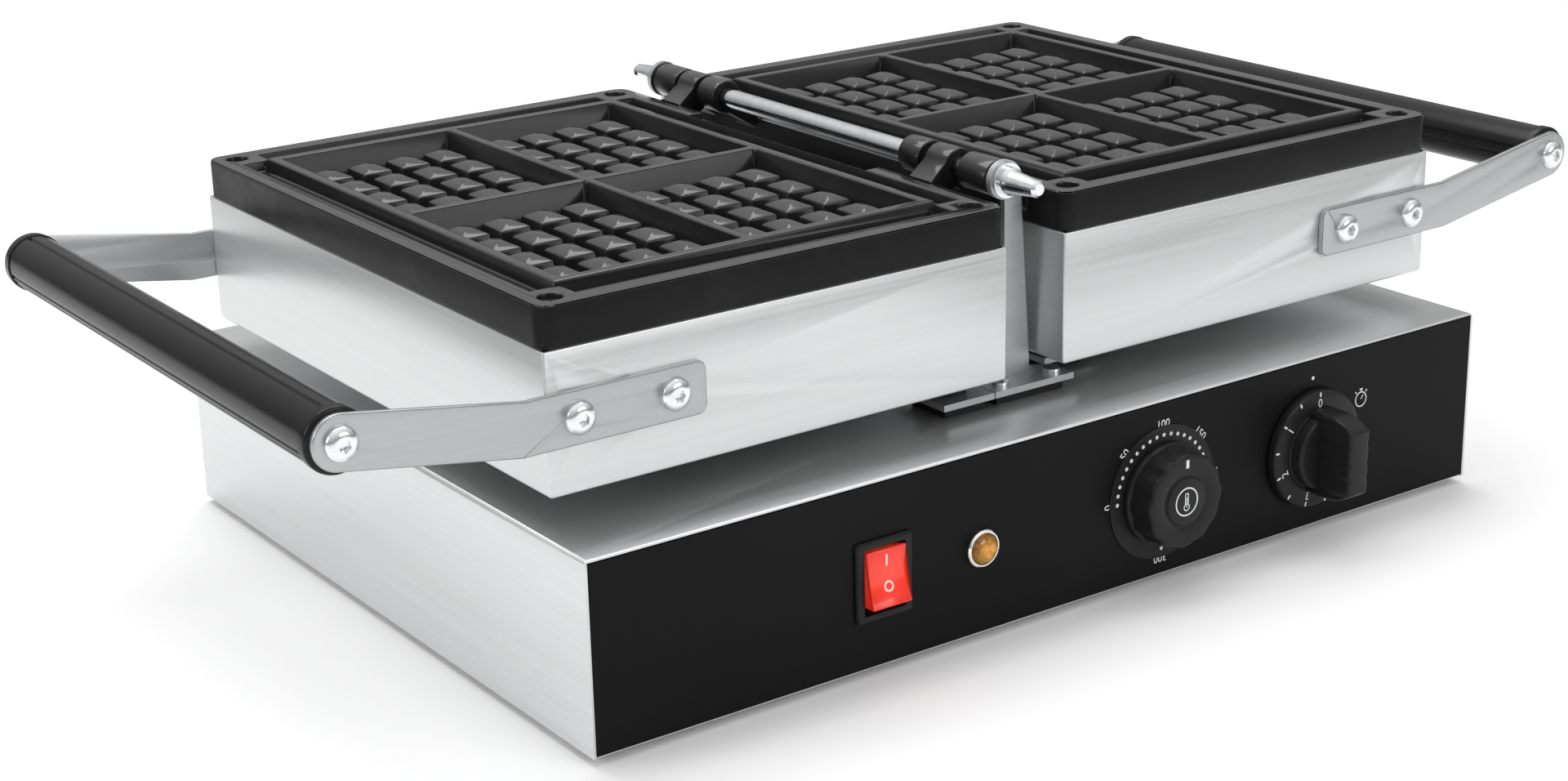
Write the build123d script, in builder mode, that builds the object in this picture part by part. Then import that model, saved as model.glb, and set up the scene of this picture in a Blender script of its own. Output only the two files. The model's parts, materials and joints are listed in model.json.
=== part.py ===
from build123d import *
import math
import os

# Twin-plate waffle maker: two hinged pans over a low control base. Millimetres, +Z up,
# +X to the operator's right, -Y towards the operator. The origin is on the floor, under the
# middle of the whole object.

# ---- driving dimensions -------------------------------------------------------------------
base_width = 433.0
base_depth = 319.0
base_height = 72.5
sheet = 1.2                 # stainless sheet of base and pans
foot_height = 3.0           # what shows of the feet under the housing
edge_radius = 2.0           # outer radius of folded edges

pan_width = 199.0
pan_depth = 266.0
pan_height = 51.8
hinge_gap = 28.0            # between the two open pans
pan_lift = 13.0             # air between base top and pan bottom

plate_height = 15.7         # cast plate above the pan's edge
axis_rise = 4.0             # hinge axis above the plate rims
register_depth = 4.0        # part of the plate that drops inside the pan
rim_x = 7.4
rim_y = 8.4
gutter_x = 10.2
gutter_y = 12.0
gutter_depth = 4.5
ridge = 4.6                 # wall round the baking area
ridge_proud = 1.0           # ridges and cross bars above the rim
cross_bar = 3.8
cavity_depth = 12.5
cavity_taper = 10.0
stud_rows = 4               # rows of studs each way in a pocket
stud_spacing_x = 0.912      # of a quarter of the pocket's width
stud_spacing_y = 0.860
stud_fill_x = 0.733         # of the spacing
stud_fill_y = 0.684
stud_height = 8.9
stud_crown = 2.0            # hipped top of each stud
stud_crown_taper = 67.0
stud_taper = 7.0
corner_pad = 19.0
corner_radius = 6.0

knuckle_radius = 7.2
shaft_radius = 4.0
running_fit = 0.05          # radial clearance of everything that turns on a shaft
hole_gap = 0.15             # radial clearance of screws in their holes
side_gap = 0.4              # between neighbouring pieces of different bodies
post_thickness = 2.5
thrust_washer = 0.9

strap_thickness = 2.5
strap_width = 19.5
strap_height = 27.6         # strap centre line above the pan's bottom
strap_inboard = 62.8        # strap end, from the pan's outer face inwards
strap_bend = 9.5            # bend, from the pan's outer face outwards
grip_reach = 75.8           # grip axis, from the pan's outer face outwards
grip_rise = 10.8            # grip axis above the strap's centre line
grip_radius = 11.0
collar_radius = 11.5
collar_length = 5.0
rod_radius = 4.0
screw_inset = [11.4, 49.6]  # strap screws, from the pan's outer face inwards
screw_radius = 3.0
head_radius = 6.1
head_height = 3.4
head_flat = 2.6             # radius of the flat round the socket
head_edge = 0.6             # straight edge of the head
socket_across = 4.0

control_height = 35.0       # row of controls, above the housing's lower edge
rocker_x = -93.7
lamp_x = -48.4
thermostat_x = 41.8
timer_x = 122.7
overlay = 1.0
bezel_width = 25.2
bezel_height = 31.0
bezel_thickness = 2.0
rocker_width = 17.6
rocker_length = 21.6
rocker_tilt = 10.0
lamp_radius = 7.3
dial_ring_radius = 27.0
knob_radius = 19.5
knob_height = 14.0
control_shaft_radius = 3.0
skirt_radius = 24.6
skirt_thickness = 3.5
timer_reach = 26.5          # timer grip's front above the housing's front face
gland_reach = 10.5
gland_x = -160.0
gland_height = 26.0

# ---- places worked out from them ----------------------------------------------------------
base_bottom = foot_height
base_top = base_bottom + base_height
base_y = (timer_reach - gland_reach) / 2
base_front = base_y - base_depth / 2
base_back = base_y + base_depth / 2
half_base = base_width / 2
pan_bottom = base_top + pan_lift
pan_top = pan_bottom + pan_height
plate_top = pan_top + plate_height
axis_z = plate_top + axis_rise
pan_in = hinge_gap / 2
pan_out = pan_in + pan_width
pan_mid = pan_in + pan_width / 2
pan_front = base_y - pan_depth / 2
pan_back = base_y + pan_depth / 2
strap_z = pan_bottom + strap_height
grip_x = pan_out + grip_reach
grip_z = strap_z + grip_rise
control_z = base_bottom + control_height
panel_face = base_front                      # front of the printed panel
plate_face = panel_face + overlay            # front of the steel plate behind it
panel_back = plate_face + sheet
cavity_x = pan_width - 2 * (rim_x + gutter_x + ridge)
cavity_y = pan_depth - 2 * (rim_y + gutter_y + ridge)
quarter_x = (cavity_x - cross_bar) / 2
quarter_y = (cavity_y - cross_bar) / 2
stud_pitch_x = stud_spacing_x * quarter_x / stud_rows
stud_pitch_y = stud_spacing_y * quarter_y / stud_rows
stud_x = stud_fill_x * stud_pitch_x
stud_y = stud_fill_y * stud_pitch_y
ridge_top = plate_top + ridge_proud
stud_spread = (stud_height - stud_crown) * math.tan(math.radians(stud_taper))
cavity_floor = ridge_top - cavity_depth

post_front = pan_front + 17.7                # outer faces of the two hinge posts
post_back = pan_back - 11.0
front_run = post_front + post_thickness + thrust_washer + side_gap
back_run = post_back - post_thickness - thrust_washer - side_gap

upward = (Align.CENTER, Align.CENTER, Align.MIN)
downward = (Align.CENTER, Align.CENTER, Align.MAX)

os.makedirs("parts", exist_ok=True)


def save(part, name):
    part.label = name
    export_step(part, f"parts/{name}.step")


def knuckle_spans():
    """Y ranges of the hinge barrels, with the pan that each belongs to."""
    lengths = [("right", 17.0), ("left", 13.5), ("right", 13.0)]
    spans = []
    y = front_run
    for (owner, length), gap in zip(lengths, [6.5, 3.5, 0.0]):
        spans.append((owner, y, y + length))
        y = y + length + gap
    y = back_run
    for (owner, length), gap in zip(lengths, [1.5, 2.6, 0.0]):
        spans.append((owner, y - length, y))
        y = y - length - gap
    return spans


knuckles = knuckle_spans()
relief_front = max(end for owner, start, end in knuckles if end < base_y) + 2.0
relief_back = min(start for owner, start, end in knuckles if start > base_y) - 2.0

# ---- base housing -------------------------------------------------------------------------
flange = 12.0
cover_screw_grid = (base_width - 2 * sheet - flange, (base_depth - 60) / 2, 2, 3)
foot_grid = (base_width - 80, base_depth - 80, 2, 2)
post_feet = [(post_front, 1), (post_back, -1)]   # outer face and direction of the rest
foot_tab = 12.0                                  # depth of a post's foot tab
foot_left = -14.5
foot_right = 24.5
spacer_height = 4.0
spacer_inset = 3.0
tab_bolt_x = [-7.5, 18.5]
tab_bolt_radius = 2.0
rest_width = 24.4
rest_depth = 26.0
rest_thickness = 2.5
left_rest_x = -27.2
right_rest_x = 38.5
left_rest_y = [post_front - foot_tab + rest_depth / 2, pan_back - 45.0]
right_rest_y = [pan_front + 38.0, pan_back - 45.0]
rests = [(left_rest_x, y) for y in left_rest_y] + [(right_rest_x, y) for y in right_rest_y]
lead_x = 26.0
lead_radius = 6.0
lead_y = base_y + 20.0
lead_z = pan_bottom + 12.0

with BuildPart() as base_shell:
    with Locations((0, base_y, base_bottom + base_height / 2)):
        Box(base_width, base_depth, base_height)
    uprights = base_shell.edges().filter_by(Axis.Z).group_by(Axis.Y)[-1]
    top_rim = base_shell.faces().sort_by(Axis.Z)[-1].edges()
    fillet(uprights + top_rim, edge_radius)
    with Locations((0, base_y - sheet / 2, base_bottom + base_height / 2 - sheet / 2)):
        Box(base_width - 2 * sheet, base_depth - sheet, base_height - sheet, mode=Mode.SUBTRACT)
    # inward lower flanges on both sides and the back
    for x in (-1, 1):
        with Locations((x * (half_base - sheet - flange / 2), base_y, base_bottom + sheet / 2)):
            Box(flange, base_depth - 2 * sheet - 2 * flange, sheet)
    with Locations((0, base_back - sheet - flange / 2, base_bottom + sheet / 2)):
        Box(base_width - 2 * sheet, flange, sheet)
    # holes in the top for post bolts, rest bolts and the pan leads
    with BuildSketch(Plane.XY.offset(base_top)) as top_holes:
        for face, way in post_feet:
            with Locations(*[(x, face - way * foot_tab / 2) for x in tab_bolt_x]):
                Circle(tab_bolt_radius + hole_gap)
        with Locations(*rests):
            Circle(tab_bolt_radius + hole_gap)
        with Locations((-lead_x, lead_y), (lead_x, lead_y)):
            Circle(lead_radius)
    extrude(amount=-2 * sheet, mode=Mode.SUBTRACT)
    # gland hole and air slots in the back
    with BuildSketch(Plane.XZ.offset(-base_back)) as back_holes:
        with Locations((gland_x, base_bottom + gland_height)):
            Circle(8.0 + hole_gap)
        with Locations((40, base_bottom + base_height / 2)):
            with GridLocations(0, 9.0, 1, 5):
                SlotOverall(120, 3.5)
    extrude(amount=2 * sheet, both=True, mode=Mode.SUBTRACT)
    # bottom cover screw holes
    with BuildSketch(Plane.XY.offset(base_bottom)) as flange_holes:
        with Locations((0, base_y)):
            with GridLocations(*cover_screw_grid):
                Circle(1.6 + hole_gap)
    extrude(amount=sheet, mode=Mode.SUBTRACT)
save(base_shell.part, "base_shell")

with BuildPart() as front_plate:
    plate_w = base_width - 2 * sheet - 2 * hole_gap
    plate_h = base_height - sheet - hole_gap
    with Locations((0, plate_face + sheet / 2, base_bottom + plate_h / 2)):
        Box(plate_w, sheet, plate_h)
    with Locations((0, panel_back + flange / 2, base_bottom + sheet / 2)):
        Box(plate_w - 2 * flange, flange, sheet)
    with BuildSketch(Plane.XZ.offset(-panel_back)) as plate_holes:
        with Locations((rocker_x, control_z)):
            Rectangle(bezel_width - 3.0, bezel_height - 2.8)
        with Locations((lamp_x, control_z)):
            Circle(5.0 + hole_gap)
        with Locations((thermostat_x, control_z), (timer_x, control_z)):
            Circle(5.0 + hole_gap)
        for x in (thermostat_x, timer_x):
            with Locations((x - 14, control_z), (x + 14, control_z)):
                Circle(2.0 + hole_gap)
    extrude(amount=sheet + 1, both=True, mode=Mode.SUBTRACT)
save(front_plate.part, "front_plate")

with BuildPart() as control_panel:
    panel_w = base_width - 2 * sheet - 2 * hole_gap
    panel_h = base_height - sheet - hole_gap - 1.0
    with Locations((0, panel_face + overlay / 2, base_bottom + 1.0 + panel_h / 2)):
        Box(panel_w, overlay, panel_h)
    with BuildSketch(Plane.XZ.offset(-panel_face)) as panel_holes:
        with Locations((rocker_x, control_z)):
            Rectangle(bezel_width - 3.0, bezel_height - 2.8)
        with Locations((lamp_x, control_z)):
            Circle(5.0 + hole_gap)
        with Locations((thermostat_x, control_z), (timer_x, control_z)):
            Circle(5.0 + hole_gap)
    extrude(amount=2 * overlay, both=True, mode=Mode.SUBTRACT)
save(control_panel.part, "control_panel")

with BuildPart() as bottom_cover:
    cover_z = base_bottom + sheet
    with BuildSketch(Plane.XY.offset(cover_z)) as cover_outline:
        with Locations((0, (panel_back + base_back - sheet) / 2)):
            Rectangle(base_width - 2 * sheet - 1.0, base_back - sheet - panel_back - 1.0)
    extrude(amount=sheet)
    with BuildSketch(Plane.XY.offset(cover_z)) as cover_slots:
        for x in (-90, 90):
            with Locations((x, base_y)):
                with GridLocations(0, 12.0, 1, 9):
                    SlotOverall(70, 4.0)
        with Locations((0, base_y)):
            with GridLocations(*foot_grid):
                Circle(2.0 + hole_gap)
            with GridLocations(*cover_screw_grid):
                Circle(1.6)
    extrude(amount=sheet, mode=Mode.SUBTRACT)
save(bottom_cover.part, "bottom_cover")

with BuildPart() as cover_screws:
    with Locations((0, base_y, base_bottom - 1.2)):
        with GridLocations(*cover_screw_grid):
            Cylinder(3.0, 1.2, align=upward)
            Cylinder(1.5, 1.2 + 2 * sheet + 2.0, align=upward)
save(cover_screws.part, "cover_screws")

foot_total = foot_height + sheet
with BuildPart() as rubber_feet:
    with BuildSketch(Plane.XY) as foot_bases:
        with Locations((0, base_y)):
            with GridLocations(*foot_grid):
                Circle(11.0)
    extrude(amount=foot_total, taper=-6)
    with BuildSketch(Plane.XY) as foot_bores:
        with Locations((0, base_y)):
            with GridLocations(*foot_grid):
                Circle(4.2)
    extrude(amount=2.6, mode=Mode.SUBTRACT)
    with BuildSketch(Plane.XY) as foot_holes:
        with Locations((0, base_y)):
            with GridLocations(*foot_grid):
                Circle(2.0 + hole_gap)
    extrude(amount=foot_total, mode=Mode.SUBTRACT)
save(rubber_feet.part, "rubber_feet")

with BuildPart() as foot_screws:
    with Locations((0, base_y, 0)):
        with GridLocations(*foot_grid):
            with Locations((0, 0, 1.0)):
                Cylinder(3.9, 1.5, align=upward)
            with Locations((0, 0, 1.0)):
                Cylinder(2.0, 9.0, align=upward)
            with Locations((0, 0, foot_total + sheet + 0.05)):
                Cylinder(3.6, 2.6, align=upward)
save(foot_screws.part, "foot_screws")

# ---- hinge posts, their insulating blocks and bolts -----------------------------------------
tab_top = base_top + spacer_height + post_thickness
trunk_left = -0.5
trunk_right_top = 7.2
trunk_right_bottom = 12.2


def make_post(face, way):
    """Sheet post: an eye round the shaft, a trunk that widens downwards, a folded foot tab."""
    with BuildPart() as post:
        with BuildSketch(Plane.XZ.offset(-face)) as outline:
            with BuildLine():
                Polyline(
                    (trunk_left, axis_z),
                    (trunk_right_top, axis_z),
                    (trunk_right_bottom, tab_top + 2.0),
                    (foot_right, tab_top - 0.5),
                    (foot_right, tab_top - post_thickness),
                    (foot_left, tab_top - post_thickness),
                    (foot_left, tab_top - 0.5),
                    (trunk_left, tab_top + 2.0),
                    close=True,
                )
            make_face()
            with Locations((0, axis_z)):
                Circle(knuckle_radius + 0.4)
            with Locations((0, axis_z)):
                Circle(shaft_radius + hole_gap, mode=Mode.SUBTRACT)
        extrude(amount=-way * post_thickness)
        tab_y = face - way * foot_tab / 2
        with Locations(((foot_left + foot_right) / 2, tab_y, tab_top - post_thickness / 2)):
            Box(foot_right - foot_left, foot_tab, post_thickness)
        with BuildSketch(Plane.XY.offset(tab_top)) as bolt_holes:
            with Locations(*[(x, tab_y) for x in tab_bolt_x]):
                Circle(tab_bolt_radius + hole_gap)
        extrude(amount=-post_thickness, mode=Mode.SUBTRACT)
    return post.part


save(make_post(post_front, 1), "hinge_post_front")
save(make_post(post_back, -1), "hinge_post_rear")

with BuildPart() as insulating_blocks:
    for face, way in post_feet:
        block_y = face - way * (foot_tab / 2 - spacer_inset / 2)
        with Locations(((foot_left + foot_right) / 2, block_y, base_top + spacer_height / 2)):
            Box(foot_right - foot_left - 2 * spacer_inset, foot_tab - spacer_inset, spacer_height)
        with Locations(*[(x, face - way * foot_tab / 2, base_top + spacer_height / 2) for x in tab_bolt_x]):
            Cylinder(tab_bolt_radius + hole_gap, spacer_height, mode=Mode.SUBTRACT)
    for x, y in rests:
        with Locations((x, y, base_top + spacer_height / 2)):
            Box(rest_width - 2 * spacer_inset, rest_depth - 2 * spacer_inset, spacer_height)
            Cylinder(tab_bolt_radius + hole_gap, spacer_height, mode=Mode.SUBTRACT)
save(insulating_blocks.part, "insulating_blocks")

rest_top = base_top + spacer_height + rest_thickness
with BuildPart() as rest_plates:
    for x, y in rests:
        with Locations((x, y, rest_top - rest_thickness / 2)):
            Box(rest_width, rest_depth, rest_thickness)
            Cylinder(tab_bolt_radius + hole_gap, rest_thickness, mode=Mode.SUBTRACT)
save(rest_plates.part, "rest_plates")

bumper_radius = 7.0
bumper_height = pan_bottom - 0.05 - rest_top
with BuildPart() as rest_bumpers:
    for x, y in rests:
        with Locations((x, y, rest_top)):
            Cylinder(bumper_radius, bumper_height, align=upward)
            Cylinder(4.0, 4.5, align=upward, mode=Mode.SUBTRACT)
save(rest_bumpers.part, "rest_bumpers")

bolt_nut = 3.2
tab_bolt_head = 1.7
with BuildPart() as post_bolts:
    bolt_places = [(x, face - way * foot_tab / 2) for face, way in post_feet for x in tab_bolt_x] + rests
    for x, y in bolt_places:
        with Locations((x, y, tab_top)):
            Cylinder(3.5, tab_bolt_head, align=upward)
        with Locations((x, y, tab_top)):
            Cylinder(tab_bolt_radius, tab_top - base_top + sheet + 6, align=downward)
        with Locations((x, y, base_top - sheet - 0.05)):
            Cylinder(3.6, bolt_nut, align=downward)
save(post_bolts.part, "post_bolts")

# ---- hinge shaft and its end pieces ---------------------------------------------------------
thread_radius = 3.0
thread_length = 8.0
washer_plate = 1.5
with BuildPart() as hinge_shaft:
    thread_reach = washer_plate + thread_length
    with Locations((0, (post_front + post_back) / 2, axis_z)):
        Cylinder(shaft_radius, post_back - post_front, rotation=(90, 0, 0))
        Cylinder(thread_radius, post_back - post_front + 2 * thread_reach, rotation=(90, 0, 0))
save(hinge_shaft.part, "hinge_shaft")

nut_length = 18.0
with BuildPart() as hinge_end_nuts:
    for face, way in ((post_front - washer_plate, -1), (post_back + washer_plate, 1)):
        with BuildSketch(Plane.YZ) as nut_outline:
            with BuildLine():
                Polyline(
                    (face, axis_z + thread_radius + hole_gap),
                    (face, axis_z + 5.4),
                    (face + way * 2.5, axis_z + 5.4),
                    (face + way * 3.5, axis_z + 4.6),
                    (face + way * (nut_length - 1.2), axis_z + 3.3),
                    (face + way * nut_length, axis_z + 2.2),
                    (face + way * nut_length, axis_z),
                    (face + way * (thread_length + 0.3), axis_z),
                    (face + way * (thread_length + 0.3), axis_z + thread_radius + hole_gap),
                    close=True,
                )
            make_face()
        revolve(axis=Axis((0, 0, axis_z), (0, 1, 0)))
        with Locations((0, face + way * (nut_length - 3.5), axis_z)):
            Box(12, 3.2, 1.8, mode=Mode.SUBTRACT)
save(hinge_end_nuts.part, "hinge_end_nuts")

with BuildPart() as hinge_washers:
    for y in (post_front - washer_plate / 2, post_back + washer_plate / 2):
        with Locations((0, y, axis_z)):
            Cylinder(knuckle_radius - 0.4, washer_plate, rotation=(90, 0, 0))
            Cylinder(thread_radius + hole_gap, washer_plate, rotation=(90, 0, 0), mode=Mode.SUBTRACT)
save(hinge_washers.part, "hinge_washers")

with BuildPart() as thrust_rings:
    ring_y = post_thickness + thrust_washer / 2
    for y in (post_front + ring_y, post_back - ring_y):
        with Locations((0, y, axis_z)):
            Cylinder(knuckle_radius - 0.2, thrust_washer, rotation=(90, 0, 0))
            Cylinder(shaft_radius + hole_gap, thrust_washer, rotation=(90, 0, 0), mode=Mode.SUBTRACT)
save(thrust_rings.part, "thrust_rings")


# ---- pans -----------------------------------------------------------------------------------
plate_screw_inset = 9.5
tab_width = 17.0
plate_screw_radius = 2.5
heater_radius = 3.25
clamp_thickness = 1.5
wool_thickness = 20.0
seat_gap = 0.3
register_bottom = pan_top - register_depth
heater_z = register_bottom - heater_radius - 0.1
clamp_top = heater_z - heater_radius - 0.1


def screw_places(side):
    """Plan places of the four corner screws of a plate."""
    half_x = pan_width / 2 - plate_screw_inset
    half_y = pan_depth / 2 - plate_screw_inset
    return [(side * pan_mid + a * half_x, base_y + b * half_y) for a in (-1, 1) for b in (-1, 1)]


def make_pan(side):
    """Folded steel pan that carries the cast plate."""
    with BuildPart() as pan:
        with Locations((side * pan_mid, base_y, pan_bottom + pan_height / 2)):
            Box(pan_width, pan_depth, pan_height)
        lower = pan.faces().sort_by(Axis.Z)[0].edges()
        fillet(lower.filter_by(Axis.Y), 1.6)
        fillet(pan.edges().filter_by(Axis.Z), 0.9)
        with Locations((side * pan_mid, base_y, pan_top)):
            Box(pan_width - 2 * sheet, pan_depth - 2 * sheet, 2 * (pan_height - sheet), mode=Mode.SUBTRACT)
        with BuildSketch(Plane.XZ) as strap_holes:
            with Locations(*[(side * (pan_out - inset), strap_z) for inset in screw_inset]):
                Circle(screw_radius + hole_gap)
        extrude(amount=pan_depth, both=True, mode=Mode.SUBTRACT)
        with Locations((side * pan_in, lead_y, lead_z)):
            Cylinder(lead_radius, 4 * sheet, rotation=(0, 90, 0), mode=Mode.SUBTRACT)
        # corner tabs that the plate screws bite into
        for x, y in screw_places(side):
            with Locations((x, y, register_bottom - 0.1 - 1.5)):
                Box(tab_width, tab_width, 3.0)
                Cylinder(plate_screw_radius + hole_gap, 4.0, mode=Mode.SUBTRACT)
    return pan.part


def make_plate(side, owner):
    """Cast waffle plate: rim, gutter, ridges, studded pockets and hinge knuckles."""
    with BuildPart() as plate:
        with BuildSketch(Plane.XY.offset(pan_top)) as outline:
            with Locations((side * pan_mid, base_y)):
                RectangleRounded(pan_width, pan_depth, corner_radius)
        extrude(amount=plate_height)
        chamfer(plate.faces().sort_by(Axis.Z)[-1].edges(), 0.7)
        with BuildSketch(Plane.XY.offset(pan_top)) as register:
            with Locations((side * pan_mid, base_y)):
                Rectangle(pan_width - 2 * (sheet + seat_gap), pan_depth - 2 * (sheet + seat_gap))
        extrude(amount=-register_depth)
        with BuildSketch(Plane.XY.offset(plate_top)) as gutter:
            with Locations((side * pan_mid, base_y)):
                Rectangle(pan_width - 2 * rim_x, pan_depth - 2 * rim_y)
                Rectangle(cavity_x + 2 * ridge, cavity_y + 2 * ridge, mode=Mode.SUBTRACT)
                with GridLocations(pan_width - corner_pad, pan_depth - corner_pad, 2, 2):
                    Rectangle(corner_pad, corner_pad, mode=Mode.SUBTRACT)
        extrude(amount=-gutter_depth, taper=12, mode=Mode.SUBTRACT)
        with BuildSketch(Plane.XY.offset(plate_top)) as ridge_block:
            with Locations((side * pan_mid, base_y)):
                Rectangle(cavity_x + 2 * ridge, cavity_y + 2 * ridge)
        extrude(amount=ridge_proud, taper=20)
        quarters = GridLocations(quarter_x + cross_bar, quarter_y + cross_bar, 2, 2).local_locations
        with BuildSketch(Plane.XY.offset(ridge_top)) as pockets:
            with Locations((side * pan_mid, base_y)):
                with Locations(*quarters):
                    RectangleRounded(quarter_x, quarter_y, 1.5)
        extrude(amount=-cavity_depth, taper=cavity_taper, mode=Mode.SUBTRACT)
        with BuildSketch(Plane.XY.offset(cavity_floor)) as studs:
            with Locations((side * pan_mid, base_y)):
                with Locations(*quarters):
                    with GridLocations(stud_pitch_x, stud_pitch_y, stud_rows, stud_rows):
                        Rectangle(stud_x + 2 * stud_spread, stud_y + 2 * stud_spread)
        extrude(amount=stud_height - stud_crown, taper=stud_taper)
        with BuildSketch(Plane.XY.offset(cavity_floor + stud_height - stud_crown)) as crowns:
            with Locations((side * pan_mid, base_y)):
                with Locations(*quarters):
                    with GridLocations(stud_pitch_x, stud_pitch_y, stud_rows, stud_rows):
                        Rectangle(stud_x, stud_y)
        extrude(amount=stud_crown, taper=stud_crown_taper)
        # the rim is lower on the hinge side, between the two groups of knuckles
        with Locations((side * (pan_in + rim_x / 2), (relief_front + relief_back) / 2, plate_top)):
            Box(rim_x, relief_back - relief_front, 2 * 7.0, mode=Mode.SUBTRACT)
        with Locations(*[(x, y, plate_top) for x, y in screw_places(side)]):
            CounterBoreHole(plate_screw_radius + hole_gap, 4.4, 6.0, 40)
        for name, start, end in knuckles:
            if name == owner:
                with BuildSketch(Plane.XZ.offset(-start)) as knuckle:
                    with Locations((0, axis_z)):
                        Circle(knuckle_radius)
                    with BuildLine():
                        Polyline(
                            (side * 1.0, axis_z + knuckle_radius - 0.1),
                            (side * (pan_in + 1.5), plate_top - 0.8),
                            (side * (pan_in + 1.5), plate_top - 12.0),
                            (side * 1.0, axis_z - knuckle_radius + 0.1),
                            close=True,
                        )
                    make_face()
                extrude(amount=-(end - start))
                with Locations((0, (start + end) / 2, axis_z)):
                    bore = shaft_radius + running_fit
                    Cylinder(bore, end - start, rotation=(90, 0, 0), mode=Mode.SUBTRACT)
    return plate.part


def make_plate_screws(side):
    """Four cap screws, sunk in the corner pads."""
    with BuildPart() as screws:
        for x, y in screw_places(side):
            with Locations((x, y, plate_top - 6.0)):
                Cylinder(4.1, 4.0, align=upward)
            with Locations((x, y, plate_top - 6.0)):
                Cylinder(plate_screw_radius, 20.0, align=downward)
            with BuildSketch(Plane.XY.offset(plate_top - 2.0)) as sockets:
                with Locations((x, y)):
                    RegularPolygon(2.3, 6)
            extrude(amount=-2.5, mode=Mode.SUBTRACT)
    return screws.part


def make_heater(side):
    """Tubular element, bent in an M under the plate."""
    inset_x = 30.0
    inset_y = 32.0
    x_far = side * (pan_out - inset_x)
    x_near = side * (pan_in + inset_x)
    x_mid = side * pan_mid
    reach = pan_depth / 2 - inset_y
    with BuildPart() as heater:
        with BuildLine() as route:
            FilletPolyline(
                (x_near, base_y - reach + 40, heater_z),
                (x_near, base_y + reach, heater_z),
                (x_mid - side * 18, base_y + reach, heater_z),
                (x_mid - side * 18, base_y - reach, heater_z),
                (x_mid + side * 18, base_y - reach, heater_z),
                (x_mid + side * 18, base_y + reach, heater_z),
                (x_far, base_y + reach, heater_z),
                (x_far, base_y - reach, heater_z),
                radius=12.0,
            )
        with BuildSketch(Plane(route.line @ 0, z_dir=route.line % 0)) as tube:
            Circle(heater_radius)
        sweep()
    return heater.part


def make_clamp(side):
    """Sheet that presses the element against the plate."""
    with BuildPart() as clamp:
        with Locations((side * pan_mid, base_y, clamp_top - clamp_thickness / 2)):
            Box(pan_width - 40, pan_depth - 50, clamp_thickness)
            with GridLocations(60, 80, 2, 2):
                Cylinder(8, clamp_thickness, mode=Mode.SUBTRACT)
    return clamp.part


def make_wool(side):
    """Mineral-wool pad on the floor of the pan."""
    with BuildPart() as wool:
        with Locations((side * pan_mid, base_y, pan_bottom + sheet + wool_thickness / 2)):
            Box(pan_width - 20, pan_depth - 20, wool_thickness)
    return wool.part


for side, owner in ((-1, "left"), (1, "right")):
    save(make_pan(side), f"{owner}_pan")
    save(make_plate(side, owner), f"{owner}_waffle_plate")
    save(make_plate_screws(side), f"{owner}_plate_screws")
    save(make_heater(side), f"{owner}_heating_element")
    save(make_clamp(side), f"{owner}_element_clamp")
    save(make_wool(side), f"{owner}_wool_pad")

# ---- handles --------------------------------------------------------------------------------
bend_angle = math.degrees(math.atan2(grip_rise, grip_reach - strap_bend))
slant = math.hypot(grip_rise, grip_reach - strap_bend)


def make_strap(side, face, way):
    """Flat strap, screwed to the pan, bent up to the grip's end."""
    bend = (side * (pan_out + strap_bend), strap_z)
    middle = ((bend[0] + side * grip_x) / 2, (bend[1] + grip_z) / 2)
    run = strap_inboard + strap_bend
    with BuildPart() as strap:
        with BuildSketch(Plane.XZ.offset(-face)) as outline:
            with Locations((side * (pan_out + strap_bend - run / 2), strap_z)):
                Rectangle(run, strap_width)
            inner_end = outline.vertices().sort_by(Axis.X)
            fillet(inner_end[:2] if side > 0 else inner_end[-2:], 3.5)
            with Locations(Location((middle[0], middle[1], 0), (0, 0, side * bend_angle))):
                Rectangle(slant, strap_width)
            with Locations(bend, (side * grip_x, grip_z)):
                Circle(strap_width / 2)
            with Locations(*[(side * (pan_out - inset), strap_z) for inset in screw_inset]):
                Circle(screw_radius + hole_gap, mode=Mode.SUBTRACT)
            with Locations((side * grip_x, grip_z)):
                Circle(screw_radius + hole_gap, mode=Mode.SUBTRACT)
        extrude(amount=way * strap_thickness)
        big = strap.faces().filter_by(Axis.Y).sort_by(Axis.Y)
        outer_face = big[0] if way > 0 else big[-1]
        chamfer(outer_face.outer_wire().edges(), 0.4)
    return strap.part


groove_depth = 0.8
groove_angles = [79.0, -17.0, -31.0, -45.0]


def make_grip(side):
    """Black moulded bar with fine grooves along it and a collar at each end."""
    length = pan_depth
    with BuildPart() as grip:
        with BuildSketch(Plane.XZ.offset(-pan_front)) as section:
            with Locations((side * grip_x, grip_z)):
                Circle(grip_radius)
                Circle(rod_radius + hole_gap, mode=Mode.SUBTRACT)
                for angle in groove_angles:
                    with PolarLocations(grip_radius, 1, start_angle=90 - side * (90 - angle)):
                        Rectangle(2 * groove_depth, 1.0, mode=Mode.SUBTRACT)
        extrude(amount=-length)
        for y, way in ((pan_front, 1), (pan_back, -1)):
            with Locations((side * grip_x, y + way * collar_length / 2, grip_z)):
                Cylinder(collar_radius, collar_length, rotation=(90, 0, 0))
                Cylinder(rod_radius + hole_gap, collar_length, rotation=(90, 0, 0), mode=Mode.SUBTRACT)
    return grip.part


rod_hole_depth = 14.0


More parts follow.
